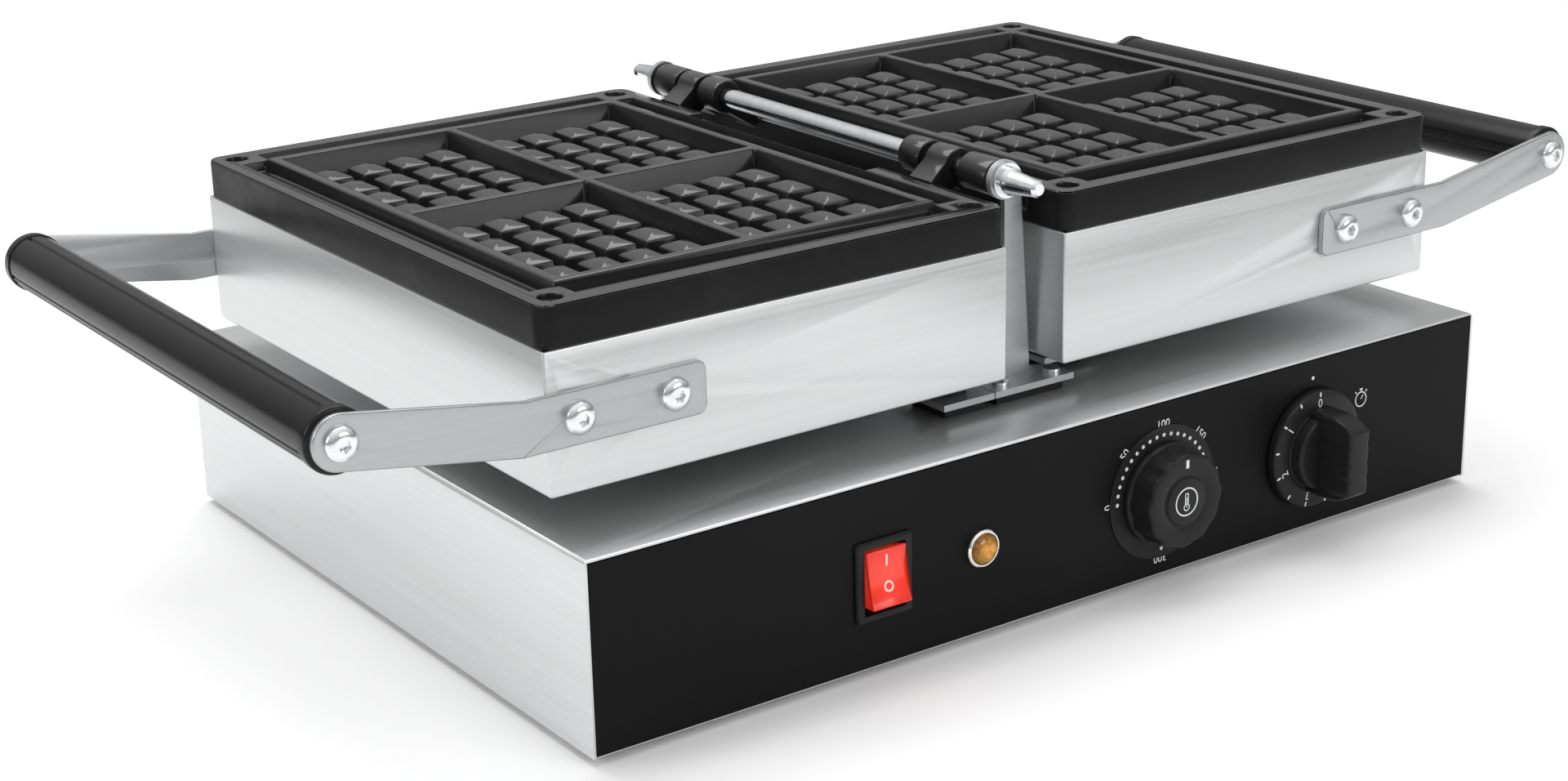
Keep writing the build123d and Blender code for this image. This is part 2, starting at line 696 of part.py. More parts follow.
def make_rod(side):
    """Steel core of the grip, tapped at both ends."""
    with BuildPart() as rod:
        with Locations((side * grip_x, base_y, grip_z)):
            Cylinder(rod_radius, pan_depth, rotation=(90, 0, 0))
        for y in (pan_front + rod_hole_depth / 2, pan_back - rod_hole_depth / 2):
            with Locations((side * grip_x, y, grip_z)):
                Cylinder(screw_radius + hole_gap, rod_hole_depth, rotation=(90, 0, 0), mode=Mode.SUBTRACT)
    return rod.part


def dome_screw(x, y, z, way, length):
    """One button-head screw along Y, its head's seat at y, pointing away from the head."""
    with BuildPart() as screw:
        with BuildSketch(Plane.YZ.offset(x)) as half:
            with BuildLine():
                Line((y, z), (y - way * head_height, z))
                Line((y - way * head_height, z), (y - way * head_height, z + head_flat))
                ThreePointArc(
                    (y - way * head_height, z + head_flat),
                    (y - way * head_height * 0.749, z + head_radius * 0.785),
                    (y - way * head_edge, z + head_radius),
                )
                Line((y - way * head_edge, z + head_radius), (y, z + head_radius))
                Line((y, z + head_radius), (y, z))
            make_face()
        revolve(axis=Axis((x, y, z), (0, 1, 0)))
        with Locations((x, y + way * length / 2, z)):
            Cylinder(screw_radius, length, rotation=(90, 0, 0))
        socket_plane = Plane(origin=(x, y - way * head_height, z), x_dir=(1, 0, 0), z_dir=(0, way, 0))
        with BuildSketch(socket_plane) as socket:
            RegularPolygon(socket_across / 2, 6, major_radius=False)
        extrude(amount=1.9, mode=Mode.SUBTRACT)
    return screw.part


def make_handle_screws(side):
    """Domed screws of both straps and of the grip's ends."""
    with BuildPart() as screws:
        for y, way in ((pan_front - strap_thickness, 1), (pan_back + strap_thickness, -1)):
            for inset in screw_inset:
                add(dome_screw(side * (pan_out - inset), y, strap_z, way, strap_thickness + sheet + 6.5))
            add(dome_screw(side * grip_x, y, grip_z, way, 14.0))
    return screws.part


def make_strap_nuts(side):
    """Hexagon nuts of the strap screws, inside the pan."""
    with BuildPart() as nuts:
        for y, way in ((pan_front + sheet + 0.05, -1), (pan_back - sheet - 0.05, 1)):
            for inset in screw_inset:
                centre = (side * (pan_out - inset), y, strap_z)
                nut_plane = Plane(origin=centre, x_dir=(0, 0, 1), z_dir=(0, -way, 0))
                with BuildSketch(nut_plane) as hexagon:
                    RegularPolygon(4.4, 6, major_radius=False)
                    Circle(screw_radius + hole_gap, mode=Mode.SUBTRACT)
                extrude(amount=4.5)
    return nuts.part


def make_lead_bush(side):
    """Bush for the heater leads in the pan's hinge-side wall."""
    with BuildPart() as bush:
        place = (side * pan_in, lead_y, lead_z)
        with Locations(place):
            Cylinder(lead_radius - hole_gap, 4 * sheet, rotation=(0, 90, 0))
        with Locations((side * (pan_in - 1.1), lead_y, lead_z)):
            Cylinder(lead_radius + 2.0, 2.0, rotation=(0, 90, 0))
        with Locations(place):
            Cylinder(lead_radius - 2.5, 6 * sheet, rotation=(0, 90, 0), mode=Mode.SUBTRACT)
    return bush.part


for side, owner in ((-1, "left"), (1, "right")):
    save(make_strap(side, pan_front, 1), f"{owner}_strap_front")
    save(make_strap(side, pan_back, -1), f"{owner}_strap_rear")
    save(make_grip(side), f"{owner}_grip")
    save(make_rod(side), f"{owner}_grip_rod")
    save(make_handle_screws(side), f"{owner}_handle_screws")
    save(make_strap_nuts(side), f"{owner}_strap_nuts")
    save(make_lead_bush(side), f"{owner}_lead_bush")

with BuildPart() as top_lead_bushes:
    for x in (-lead_x, lead_x):
        with Locations((x, lead_y, base_top + 1.0)):
            Cylinder(lead_radius + 2.0, 2.0)
        with Locations((x, lead_y, base_top - sheet / 2)):
            Cylinder(lead_radius - hole_gap, 3 * sheet)
        with Locations((x, lead_y, base_top)):
            Cylinder(lead_radius - 2.5, 12.0, mode=Mode.SUBTRACT)
save(top_lead_bushes.part, "top_lead_bushes")

# ---- rocker switch ----------------------------------------------------------------------------
pivot_y = panel_face + 3.0
well_width = rocker_width + 0.8
well_height = 25.4
switch_depth = 22.0
pivot_radius = 1.5
rocker_face = 8.0             # front corners of the rocker before its pivot
rocker_dish = 1.8
with BuildPart() as rocker_frame:
    with BuildSketch(Plane.XZ.offset(-panel_face)) as bezel:
        with Locations((rocker_x, control_z)):
            RectangleRounded(bezel_width, bezel_height, 1.2)
    extrude(amount=bezel_thickness)
    chamfer(rocker_frame.faces().sort_by(Axis.Y)[0].edges(), 0.8)
    with Locations((rocker_x, panel_face + switch_depth / 2, control_z)):
        Box(bezel_width - 3.4, switch_depth, bezel_height - 3.2)
    well_back = pivot_y + 5.0
    well_length = well_back - panel_face + bezel_thickness
    with Locations((rocker_x, well_back - well_length / 2, control_z)):
        Box(well_width, well_length, well_height, mode=Mode.SUBTRACT)
    with Locations((rocker_x, pivot_y, control_z)):
        Cylinder(pivot_radius + running_fit, rocker_width + 2.8, rotation=(0, 90, 0), mode=Mode.SUBTRACT)
    for x in (-5, 5):
        for z in (-8, 0, 8):
            with Locations((rocker_x + x, panel_face + switch_depth + 4, control_z + z)):
                Box(0.8, 8.0, 4.8)
save(rocker_frame.part, "rocker_frame")

with BuildPart() as rocker:
    lean = math.radians(rocker_tilt)
    half_length = rocker_length / 2

    def tilted(y, z):
        """Profile point about the pivot, turned so that the upper half is pressed in."""
        turned_y = y * math.cos(lean) + z * math.sin(lean)
        turned_z = z * math.cos(lean) - y * math.sin(lean)
        return (pivot_y + turned_y, control_z + turned_z)

    with BuildSketch(Plane.YZ.offset(rocker_x - rocker_width / 2)) as profile:
        with BuildLine():
            ThreePointArc(
                tilted(-rocker_face, half_length),
                tilted(-rocker_face + rocker_dish, 0),
                tilted(-rocker_face, -half_length),
            )
            Polyline(
                tilted(-rocker_face, -half_length),
                tilted(-0.5, -half_length + 1.0),
                tilted(1.8, -4.0),
                tilted(1.8, 4.0),
                tilted(-0.5, half_length - 1.0),
                tilted(-rocker_face, half_length),
            )
        make_face()
    extrude(amount=rocker_width)
    fillet(rocker.faces().sort_by(Axis.Y)[0].edges().filter_by(Axis.X), 0.5)
    with Locations((rocker_x, pivot_y, control_z)):
        Cylinder(pivot_radius, rocker_width + 2.4, rotation=(0, 90, 0))
save(rocker.part, "rocker")

# ---- heating lamp -------------------------------------------------------------------------------
lens_radius = 6.2
lens_seat = 1.6
with BuildPart() as lamp_holder:
    with BuildSketch(Plane.XZ.offset(-panel_face)) as ring:
        with Locations((lamp_x, control_z)):
            Circle(lamp_radius)
    extrude(amount=2.6)
    chamfer(lamp_holder.faces().sort_by(Axis.Y)[0].edges(), 0.5)
    with Locations((lamp_x, panel_face + 12.0, control_z)):
        Cylinder(4.9, 24.0, rotation=(90, 0, 0))
    with Locations((lamp_x, panel_face - 2.6 + lens_seat / 2, control_z)):
        Cylinder(lens_radius + 0.1, lens_seat, rotation=(90, 0, 0), mode=Mode.SUBTRACT)
    for x in (-2, 2):
        with Locations((lamp_x + x, panel_face + 28.0, control_z)):
            Box(0.6, 8.0, 2.8)
save(lamp_holder.part, "lamp_holder")

with BuildPart() as lamp_lens:
    lens_back = panel_face - 2.6 + lens_seat
    with BuildSketch(Plane.XZ.offset(-lens_back)) as lens_seat_disc:
        with Locations((lamp_x, control_z)):
            Circle(lens_radius)
    extrude(amount=lens_seat + 0.4)
    with BuildSketch(Plane.XZ.offset(-(lens_back - lens_seat - 0.4))) as lens_dome:
        with Locations((lamp_x, control_z)):
            RegularPolygon(lens_radius, 12)
    extrude(amount=2.4, taper=35)
save(lamp_lens.part, "lamp_lens")


def panel_nut(x, across, bore, thickness):
    """Hexagon nut behind the front plate."""
    with BuildPart() as nut:
        nut_plane = Plane(origin=(x, panel_back + 0.05, control_z), x_dir=(1, 0, 0), z_dir=(0, 1, 0))
        with BuildSketch(nut_plane) as hexagon:
            RegularPolygon(across / 2, 6, major_radius=False)
            Circle(bore, mode=Mode.SUBTRACT)
        extrude(amount=thickness)
    return nut.part


save(panel_nut(lamp_x, 14.0, 4.9 + hole_gap, 3.0), "lamp_nut")

# ---- thermostat and its knob ----------------------------------------------------------------------
shaft_bush_radius = 5.0
body_stand_off = 2.0


def make_control_body(x, width, height, depth):
    """Body of a rotary control, screwed behind the front plate, with its shaft bush."""
    with BuildPart() as body:
        front = panel_back + body_stand_off
        with Locations((x, front + depth / 2, control_z)):
            Box(width, depth, height)
        fillet(body.edges().filter_by(Axis.Y), 3.0)
        with Locations((x, (panel_face + front) / 2 + 0.2, control_z)):
            Cylinder(shaft_bush_radius, front - panel_face - 0.4, rotation=(90, 0, 0))
        for side in (-14, 14):
            with Locations((x + side, (panel_back + front) / 2, control_z)):
                Cylinder(3.4, front - panel_back, rotation=(90, 0, 0))
        with Locations((x, front + 4.0, control_z)):
            Cylinder(control_shaft_radius + running_fit, 22.0, rotation=(90, 0, 0), mode=Mode.SUBTRACT)
        for z in (-7, 7):
            with Locations((x - width / 2 + 6, front + depth + 3, control_z + z)):
                Box(0.8, 6.0, 6.3)
    return body.part


save(make_control_body(thermostat_x, 42.0, 34.0, 22.0), "thermostat_body")
save(make_control_body(timer_x, 52.0, 50.0, 26.0), "timer_body")

with BuildPart() as control_screws:
    for x in (thermostat_x, timer_x):
        for side in (-14, 14):
            with Locations((x + side, plate_face + sheet / 2, control_z)):
                Cylinder(2.0, sheet, rotation=(90, 0, 0))
save(control_screws.part, "control_screws")

dial_ring_thickness = 0.6
with BuildPart() as temperature_dial:
    with BuildSketch(Plane.XZ.offset(-panel_face)) as dial:
        with Locations((thermostat_x, control_z)):
            Circle(dial_ring_radius)
            Circle(shaft_bush_radius + 1.0, mode=Mode.SUBTRACT)
    extrude(amount=dial_ring_thickness)
save(temperature_dial.part, "temperature_dial")

shaft_inside = 12.0
knob_gap = 0.6
knob_back = panel_face - dial_ring_thickness - knob_gap


def make_control_shaft(x, reach):
    """Flatted shaft that the knob sits on."""
    with BuildPart() as shaft:
        start = panel_back + body_stand_off + shaft_inside
        end = panel_face - reach
        with Locations((x, (start + end) / 2, control_z)):
            Cylinder(control_shaft_radius, start - end, rotation=(90, 0, 0))
    return shaft.part


scallops = 12
with BuildPart() as temperature_knob:
    with BuildSketch(Plane.XZ.offset(-knob_back)) as skirt:
        with Locations((thermostat_x, control_z)):
            Circle(knob_radius + 1.0)
    extrude(amount=2.5)
    with BuildSketch(Plane.XZ.offset(-knob_back)) as grip_outline:
        with Locations((thermostat_x, control_z)):
            Circle(knob_radius)
            with PolarLocations(knob_radius + 5.2, scallops):
                Circle(6.2, mode=Mode.SUBTRACT)
    extrude(amount=knob_height - dial_ring_thickness - knob_gap)
    fillet(temperature_knob.faces().sort_by(Axis.Y)[0].edges(), 1.2)
    with Locations((thermostat_x, panel_face - 4.0, control_z)):
        Cylinder(control_shaft_radius + hole_gap / 3, 9.0, rotation=(90, 0, 0), mode=Mode.SUBTRACT)
save(temperature_knob.part, "temperature_knob")
save(make_control_shaft(thermostat_x, 8.0), "thermostat_shaft")

# ---- timer knob -------------------------------------------------------------------------------------
timer_back = panel_face - 1.0
bar_thickness = 12.0
bar_length = 36.0
hub_radius = 16.5
rib_spacing = 5.6
rib_depth = 0.6              # cut into the bar's flanks
with BuildPart() as timer_knob:
    with BuildSketch(Plane.XZ.offset(-timer_back)) as disc:
        with Locations((timer_x, control_z)):
            Circle(skirt_radius)
    extrude(amount=skirt_thickness)
    chamfer(timer_knob.faces().sort_by(Axis.Y)[0].edges(), 1.4)
    with BuildSketch(Plane.XZ.offset(-(timer_back - skirt_thickness))) as hub:
        with Locations((timer_x, control_z)):
            Circle(hub_radius)
    extrude(amount=5.0, taper=8)
    with BuildSketch(Plane.XZ.offset(-(timer_back - skirt_thickness))) as bar:
        with Locations((timer_x, control_z)):
            RectangleRounded(bar_thickness, bar_length, 2.5)
    extrude(amount=timer_reach - skirt_thickness - 1.0, taper=4)
    fillet(timer_knob.faces().sort_by(Axis.Y)[0].edges(), 1.0)
    for step in (-2, -1, 0, 1, 2):
        for side in (-1, 1):
            rib_x = timer_x + side * bar_thickness / 2
            with Locations((rib_x, panel_face - 16.0, control_z + step * rib_spacing)):
                Box(2 * rib_depth, 18.0, 1.4, mode=Mode.SUBTRACT)
    with Locations((timer_x, timer_back - 4.0, control_z)):
        Cylinder(control_shaft_radius + hole_gap / 3, 12.0, rotation=(90, 0, 0), mode=Mode.SUBTRACT)
save(timer_knob.part, "timer_knob")
save(make_control_shaft(timer_x, 8.0), "timer_shaft")

# ---- mains side ---------------------------------------------------------------------------------------
gland_z = base_bottom + gland_height
gland_bore = 4.5
with BuildPart() as cable_gland:
    gland_plane = Plane(origin=(gland_x, base_back, gland_z), x_dir=(1, 0, 0), z_dir=(0, 1, 0))
    with BuildSketch(gland_plane) as gland_hexagon:
        RegularPolygon(10.0, 6, major_radius=False)
    extrude(amount=gland_reach / 2)
    with BuildSketch(gland_plane) as gland_cap:
        Circle(9.2)
    extrude(amount=gland_reach)
    fillet(cable_gland.faces().sort_by(Axis.Y)[-1].edges(), 2.0)
    with Locations((gland_x, base_back - 5.0, gland_z)):
        Cylinder(8.0, 10.0, rotation=(90, 0, 0))
    with Locations((gland_x, base_back, gland_z)):
        Cylinder(gland_bore, 60.0, rotation=(90, 0, 0), mode=Mode.SUBTRACT)
save(cable_gland.part, "cable_gland")

with BuildPart() as gland_nut:
    lock_origin = (gland_x, base_back - sheet - 0.05, gland_z)
    lock_plane = Plane(origin=lock_origin, x_dir=(1, 0, 0), z_dir=(0, -1, 0))
    with BuildSketch(lock_plane) as lock_hexagon:
        RegularPolygon(11.5, 6, major_radius=False)
        Circle(8.0 + hole_gap, mode=Mode.SUBTRACT)
    extrude(amount=5.0)
save(gland_nut.part, "gland_nut")

cover_top = base_bottom + 2 * sheet
terminal_x = gland_x + 70.0
terminal_y = base_back - 60.0
with BuildPart() as terminal_block:
    with Locations((terminal_x, terminal_y, cover_top)):
        Box(48, 22, 14, align=upward)
    block_top = cover_top + 14
    for step in (-1, 0, 1):
        with Locations((terminal_x + step * 15, terminal_y, block_top)):
            with GridLocations(0, 11, 1, 2):
                Cylinder(2.6, 8.0, mode=Mode.SUBTRACT)
        with Locations((terminal_x + step * 15, terminal_y, cover_top + 5)):
            Cylinder(1.8, 22, rotation=(90, 0, 0), mode=Mode.SUBTRACT)
save(terminal_block.part, "terminal_block")
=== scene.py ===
"""Looks of a twin waffle maker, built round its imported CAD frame.

Everything is in metres in the frame of the CAD: +Z up, +X to the operator's right and -Y towards
the operator.
"""

import json
import math

import bmesh
import bpy
from mathutils import Euler, Matrix, Vector


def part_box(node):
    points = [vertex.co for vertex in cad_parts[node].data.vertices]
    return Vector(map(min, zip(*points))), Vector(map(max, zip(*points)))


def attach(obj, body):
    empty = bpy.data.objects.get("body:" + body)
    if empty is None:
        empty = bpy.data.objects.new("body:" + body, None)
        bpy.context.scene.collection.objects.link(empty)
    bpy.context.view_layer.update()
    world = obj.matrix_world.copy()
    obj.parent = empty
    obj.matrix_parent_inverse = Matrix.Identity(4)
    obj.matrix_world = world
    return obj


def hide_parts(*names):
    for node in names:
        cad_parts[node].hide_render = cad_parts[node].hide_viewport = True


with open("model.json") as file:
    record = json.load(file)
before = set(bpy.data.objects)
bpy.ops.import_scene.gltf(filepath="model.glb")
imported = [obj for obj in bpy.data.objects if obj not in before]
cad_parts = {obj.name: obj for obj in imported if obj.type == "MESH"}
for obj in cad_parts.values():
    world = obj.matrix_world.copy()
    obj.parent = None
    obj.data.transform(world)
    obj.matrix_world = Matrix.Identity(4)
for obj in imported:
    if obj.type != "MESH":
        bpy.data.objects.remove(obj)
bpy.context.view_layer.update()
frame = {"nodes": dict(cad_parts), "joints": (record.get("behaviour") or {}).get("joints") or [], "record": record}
nodes = frame["nodes"]

bl_info = {
    "name": "Twin Waffle Maker",
    "version": (1, 0, 0),
    "blender": (4, 5, 0),
    "location": "View3D > Sidebar > Waffle Maker",
    "description": "Builds the finishes, fittings and stage of a twin waffle maker",
    "category": "Object",
}

MM = 0.001
SIDES = ("left", "right")
TYPE_DEPTH = 0.06 * MM
INK_DEPTH = 0.05 * MM
HEAD_RADIUS = 6.1 * MM
HEAD_HEIGHT = 3.4 * MM
SOCKET_RADIUS = 2.3 * MM
SCREW_INSETS = (11.4 * MM, 49.6 * MM)  # strap screws, from the pan's outer face inwards


def joint_place(name):
    """Point on a joint's axis, in the row frame."""
    return Vector(next(joint["pos_m"] for joint in frame["joints"] if joint["name"] == name))


def middle(node):
    low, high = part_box(node)
    return (low + high) / 2


panel_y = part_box("control_panel")[0].y
rocker_place = joint_place("rocker_tip")
thermostat_place = joint_place("temperature_turn")
timer_place = joint_place("timer_turn")
lamp_place = middle("lamp_holder")


# ---- settings ----------------------------------------------------------------------------


def length_setting(name, description, default):
    return bpy.props.FloatProperty(
        name=name, description=description, default=default, min=0.0, subtype="DISTANCE", unit="LENGTH"
    )


def colour_setting(name, description, default):
    return bpy.props.FloatVectorProperty(
        name=name, description=description, default=default, size=3, min=0.0, max=1.0, subtype="COLOR"
    )


class WaffleMakerFinishes(bpy.types.PropertyGroup):
    """Colours of the finishes."""

    steel: colour_setting("Steel", "Brushed stainless sheet", (0.68, 0.685, 0.69))
    strap: colour_setting("Strap steel", "Brushed strip of handles and posts", (0.46, 0.465, 0.47))
    zinc: colour_setting("Bright zinc", "Screws, nuts and shaft", (0.83, 0.84, 0.86))
    casting: colour_setting("Casting", "Coated cast iron of the baking plates", (0.011, 0.011, 0.0115))
    panel: colour_setting("Panel", "Printed overlay of the control panel", (0.006, 0.006, 0.0065))
    moulding: colour_setting("Black moulding", "Knobs and grips", (0.012, 0.012, 0.013))
    rubber: colour_setting("Rubber", "Feet, bumpers and bushes", (0.020, 0.020, 0.021))
    ink: colour_setting("Ink", "Pale print on knobs and panel", (0.80, 0.81, 0.82))
    switch_red: colour_setting("Switch red", "Lit rocker switch", (0.85, 0.025, 0.012))
    amber: colour_setting("Amber", "Signal lamp", (0.70, 0.26, 0.012))


class WaffleMakerSizes(bpy.types.PropertyGroup):
    """Sizes of the details that the frame doesn't give."""

    edge: length_setting("Edge", "Rounding of sheet edges", 0.35 * MM)
    casting_edge: length_setting("Casting edge", "Rounding of the casting's edges", 0.7 * MM)
    digit: length_setting("Digit", "Type size of the printed numbers", 4.6 * MM)
    groove: length_setting("Groove", "Depth of the grips' fine grooves", 0.7 * MM)


# ---- shader building ------------------------------------------------------------------------


class Value:
    """A number socket of a shader tree. Sums on it add Math nodes."""

    def __init__(self, tree, socket):
        self.tree = tree
        self.socket = socket

    def math(self, operation, *others):
        node = self.tree.nodes.new("ShaderNodeMath")
        node.operation = operation
        for place, item in enumerate((self, *others)):
            if isinstance(item, Value):
                self.tree.links.new(item.socket, node.inputs[place])
            else:
                node.inputs[place].default_value = item
        return Value(self.tree, node.outputs[0])

    def constant(self, number):
        node = self.tree.nodes.new("ShaderNodeMath")
        node.operation = "ADD"
        node.inputs[0].default_value = number
        node.inputs[1].default_value = 0.0
        return Value(self.tree, node.outputs[0])

    def __add__(self, other):
        return self.math("ADD", other)

    __radd__ = __add__

    def __mul__(self, other):
        return self.math("MULTIPLY", other)

    __rmul__ = __mul__

    def __sub__(self, other):
        return self.math("SUBTRACT", other)

    def __rsub__(self, other):
        return self.constant(other).math("SUBTRACT", self)

    def __truediv__(self, other):
        return self.math("DIVIDE", other)

    def __pow__(self, other):
        return self.math("POWER", other)

    def __gt__(self, other):
        return self.math("GREATER_THAN", other)

    def size(self):
        return self.math("ABSOLUTE")

    def clamped(self):
        return self.math("MINIMUM", 1.0).math("MAXIMUM", 0.0)


class Finish:
    """One material: its Principled shader and the nodes that feed it."""

    def __init__(self, name, **constants):
        self.material = bpy.data.materials.new(name)
        self.material.use_nodes = True
        self.tree = self.material.node_tree
        self.shader = self.tree.nodes["Principled BSDF"]
        for socket, number in constants.items():
            label = socket.replace("_", " ").title().replace("Ior", "IOR")
            self.shader.inputs[label].default_value = number
        self.coordinates = self.tree.nodes.new("ShaderNodeTexCoord")

    def node(self, kind, settings=(), output=0, **inputs):
        """Adds a node, sets it up and links or fills its sockets; gives the chosen output."""
        node = self.tree.nodes.new(kind)
        for attribute, setting in dict(settings).items():
            setattr(node, attribute, setting)
        for key, item in inputs.items():
            socket = node.inputs[key] if key in node.inputs else node.inputs[key.replace("_", " ")]
            self.feed(item, socket)
        return node.outputs[output]

    def feed(self, item, socket):
        if isinstance(item, Value):
            self.tree.links.new(item.socket, socket)
        elif isinstance(item, bpy.types.NodeSocket):
            self.tree.links.new(item, socket)
        else:
            socket.default_value = item

    def place(self, stretch=(1, 1, 1)):
        """Object coordinates, stretched along the axes."""
        return self.node("ShaderNodeMapping", Vector=self.coordinates.outputs["Object"], Scale=stretch)

    def noise(self, scale, detail=3.0, stretch=(1, 1, 1), roughness=0.5):
        socket = self.node(
            "ShaderNodeTexNoise",
            Vector=self.place(stretch),
            Scale=scale,
            Detail=detail,
            Roughness=roughness,
        )
        return Value(self.tree, socket)

    def facing(self, axis):
        """How far a face looks along one axis of its piece, from 0 to 1."""
        parts = self.tree.nodes.new("ShaderNodeSeparateXYZ")
        self.tree.links.new(self.coordinates.outputs["Normal"], parts.inputs[0])
        return Value(self.tree, parts.outputs["XYZ".index(axis)]).size()

    def blend(self, amount, first, second):
        """A colour between two others."""
        node = self.tree.nodes.new("ShaderNodeMix")
        node.data_type = "RGBA"
        self.feed(amount, node.inputs[0])
        self.feed((*first, 1.0), node.inputs[6])
        self.feed((*second, 1.0), node.inputs[7])
        return node.outputs[2]

    def choose(self, amount, first, second):
        return first + (second - first) * amount

    def bump(self, height, distance, strength=1.0):
        """Feeds a height in metres to the shader's Normal."""
        socket = self.node("ShaderNodeBump", Height=height, Distance=distance, Strength=strength)
        self.tree.links.new(socket, self.shader.inputs["Normal"])

    def set(self, socket, item):
        self.feed(item, self.shader.inputs[socket])


def shade(colour, amount):
    """A colour made darker or lighter by a factor."""
    return tuple(min(1.0, part * amount) for part in colour)


def brushed_metal(name, colour, roughness=0.30, grain=1.0):
    """Satin steel: fine streaks along each sheet, patches of wear and faint cloudiness."""
    finish = Finish(name, metallic=0.80)
    along_x = finish.noise(900.0, 2.0, (0.012, 1.0, 1.0))
    along_y = finish.noise(900.0, 2.0, (1.0, 0.012, 1.0))
    streaks = finish.choose(finish.facing("X") > 0.7, along_x, along_y)
    broad_x = finish.noise(160.0, 3.0, (0.02, 1.0, 1.0))
    broad_y = finish.noise(160.0, 3.0, (1.0, 0.02, 1.0))
    broad = finish.choose(finish.facing("X") > 0.7, broad_x, broad_y)
    cloud = finish.noise(7.0, 4.0)
    rubbed = finish.noise(38.0, 6.0, roughness=0.7)
    tone = ((streaks - 0.5) * 0.55 + (broad - 0.5) * 0.4 + (cloud - 0.5) * 0.25 + 0.5).clamped()
    finish.set("Base Color", finish.blend(tone, shade(colour, 0.86), shade(colour, 1.10)))
    wear = ((rubbed - 0.58) * 4.0).clamped()
    fine = (streaks - 0.5) * 0.16 * grain
    finish.set("Roughness", fine + (cloud - 0.5) * 0.10 + wear * 0.05 + roughness)
    finish.bump(streaks * 0.7 + broad * 0.3, 0.000012 * grain, 0.8)
    return finish.material


def bright_zinc(name, colour, roughness=0.18):
    """Plated fasteners: shiny, with faint passivation clouds and handling marks."""
    finish = Finish(name, metallic=1.0)
    cloud = finish.noise(260.0, 3.0)
    marks = finish.noise(1400.0, 2.0)
    finish.set("Base Color", finish.blend(cloud, shade(colour, 0.82), shade(colour, 1.08)))
    finish.set("Roughness", (cloud - 0.5) * 0.16 + (marks - 0.5) * 0.10 + roughness)
    finish.bump(marks, 0.00001, 0.5)
    return finish.material


def coated_casting(name, colour):
    """Cast iron under a non-stick coat: fine sand texture, oily patches, lighter rubbed spots."""
    finish = Finish(name, specular_ior_level=0.10, coat_roughness=0.14)
    sand = finish.noise(2600.0, 3.0)
    skin = finish.noise(420.0, 4.0)
    oil = finish.noise(26.0, 4.0, roughness=0.65)
    rubbed = ((oil - 0.52) * 5.0).clamped()
    tone = rubbed * 0.55 + skin * 0.45
    finish.set("Base Color", finish.blend(tone, shade(colour, 0.75), shade(colour, 1.7)))
    finish.set("Roughness", (skin - 0.5) * 0.18 - rubbed * 0.09 + 0.40)
    finish.set("Coat Weight", ((finish.facing("Z") - 0.20) * 2.0).clamped() * (skin * 0.3 + 0.85))
    finish.bump(sand * 0.55 + skin * 0.45, 0.00006, 0.55)
    return finish.material


def moulded_plastic(name, colour, roughness=0.30, texture=1.0, sheen=0.18):
    """Moulded plastic: fine texture, slightly uneven gloss and a little dust."""
    finish = Finish(name, specular_ior_level=sheen)
    grain = finish.noise(3200.0, 2.0)
    gloss = finish.noise(60.0, 4.0, roughness=0.6)
    dust = finish.noise(900.0, 5.0, roughness=0.7)
    specks = ((dust - 0.62) * 6.0).clamped()
    finish.set("Base Color", finish.blend(specks * 0.3 + gloss * 0.25, colour, shade(colour, 2.0)))
    finish.set("Roughness", (gloss - 0.5) * 0.16 + specks * 0.08 + roughness)
    finish.bump(grain, 0.00002 * texture, 0.5)
    return finish.material


def soft_rubber(name, colour):
    """Matt rubber with a fine pebble and pale bloom."""
    finish = Finish(name, specular_ior_level=0.35)
    pebble = finish.noise(2200.0, 3.0)
    bloom = finish.noise(120.0, 4.0)
    finish.set("Base Color", finish.blend(bloom, shade(colour, 0.8), shade(colour, 2.0)))
    finish.set("Roughness", (bloom - 0.5) * 0.2 + 0.72)
    finish.bump(pebble, 0.00005, 0.6)
    return finish.material


def printed_overlay(name, colour):
    """Black screen-printed overlay: satin, with a very fine matt grain."""
    finish = Finish(name, specular_ior_level=0.07)
    grain = finish.noise(3600.0, 2.0)
    haze = finish.noise(11.0, 3.0)
    finish.set("Base Color", finish.blend(haze, shade(colour, 0.8), shade(colour, 1.7)))
    finish.set("Roughness", (haze - 0.5) * 0.12 + (grain - 0.5) * 0.08 + 0.36)
    finish.bump(grain, 0.000012, 0.4)
    return finish.material


def ink(name, colour):
    """Printed ink with slightly uneven cover."""
    finish = Finish(name, specular_ior_level=0.3)
    cover = finish.noise(1500.0, 3.0)
    finish.set("Base Color", finish.blend(cover, shade(colour, 0.82), colour))
    finish.set("Roughness", (cover - 0.5) * 0.2 + 0.6)
    return finish.material


def lit_plastic(name, colour, centre, reach, strength, hot, roughness=0.16, edge=0.75, patches=0.3):
    """Clear coloured plastic with a lamp behind: brightest round its middle."""
    finish = Finish(name, emission_strength=strength, coat_roughness=0.08)
    away = finish.node(
        "ShaderNodeVectorMath",
        {"operation": "DISTANCE"},
        output=1,
        Vector=finish.coordinates.outputs["Object"],
    )
    away.node.inputs[1].default_value = centre
    glow = (1.0 - Value(finish.tree, away) / reach).clamped() ** 1.4
    cells = finish.noise(520.0, 2.0)
    patchy = (glow * ((cells - 0.5) * patches + 1.0)).clamped()
    finish.set("Base Color", finish.blend(patchy, shade(colour, edge), colour))
    finish.set("Emission Color", finish.blend(patchy, shade(colour, 0.4 * edge), hot))
    finish.set("Roughness", (cells - 0.5) * 0.08 + roughness)
    finish.bump(cells, 0.00002, 0.3)
    return finish.material


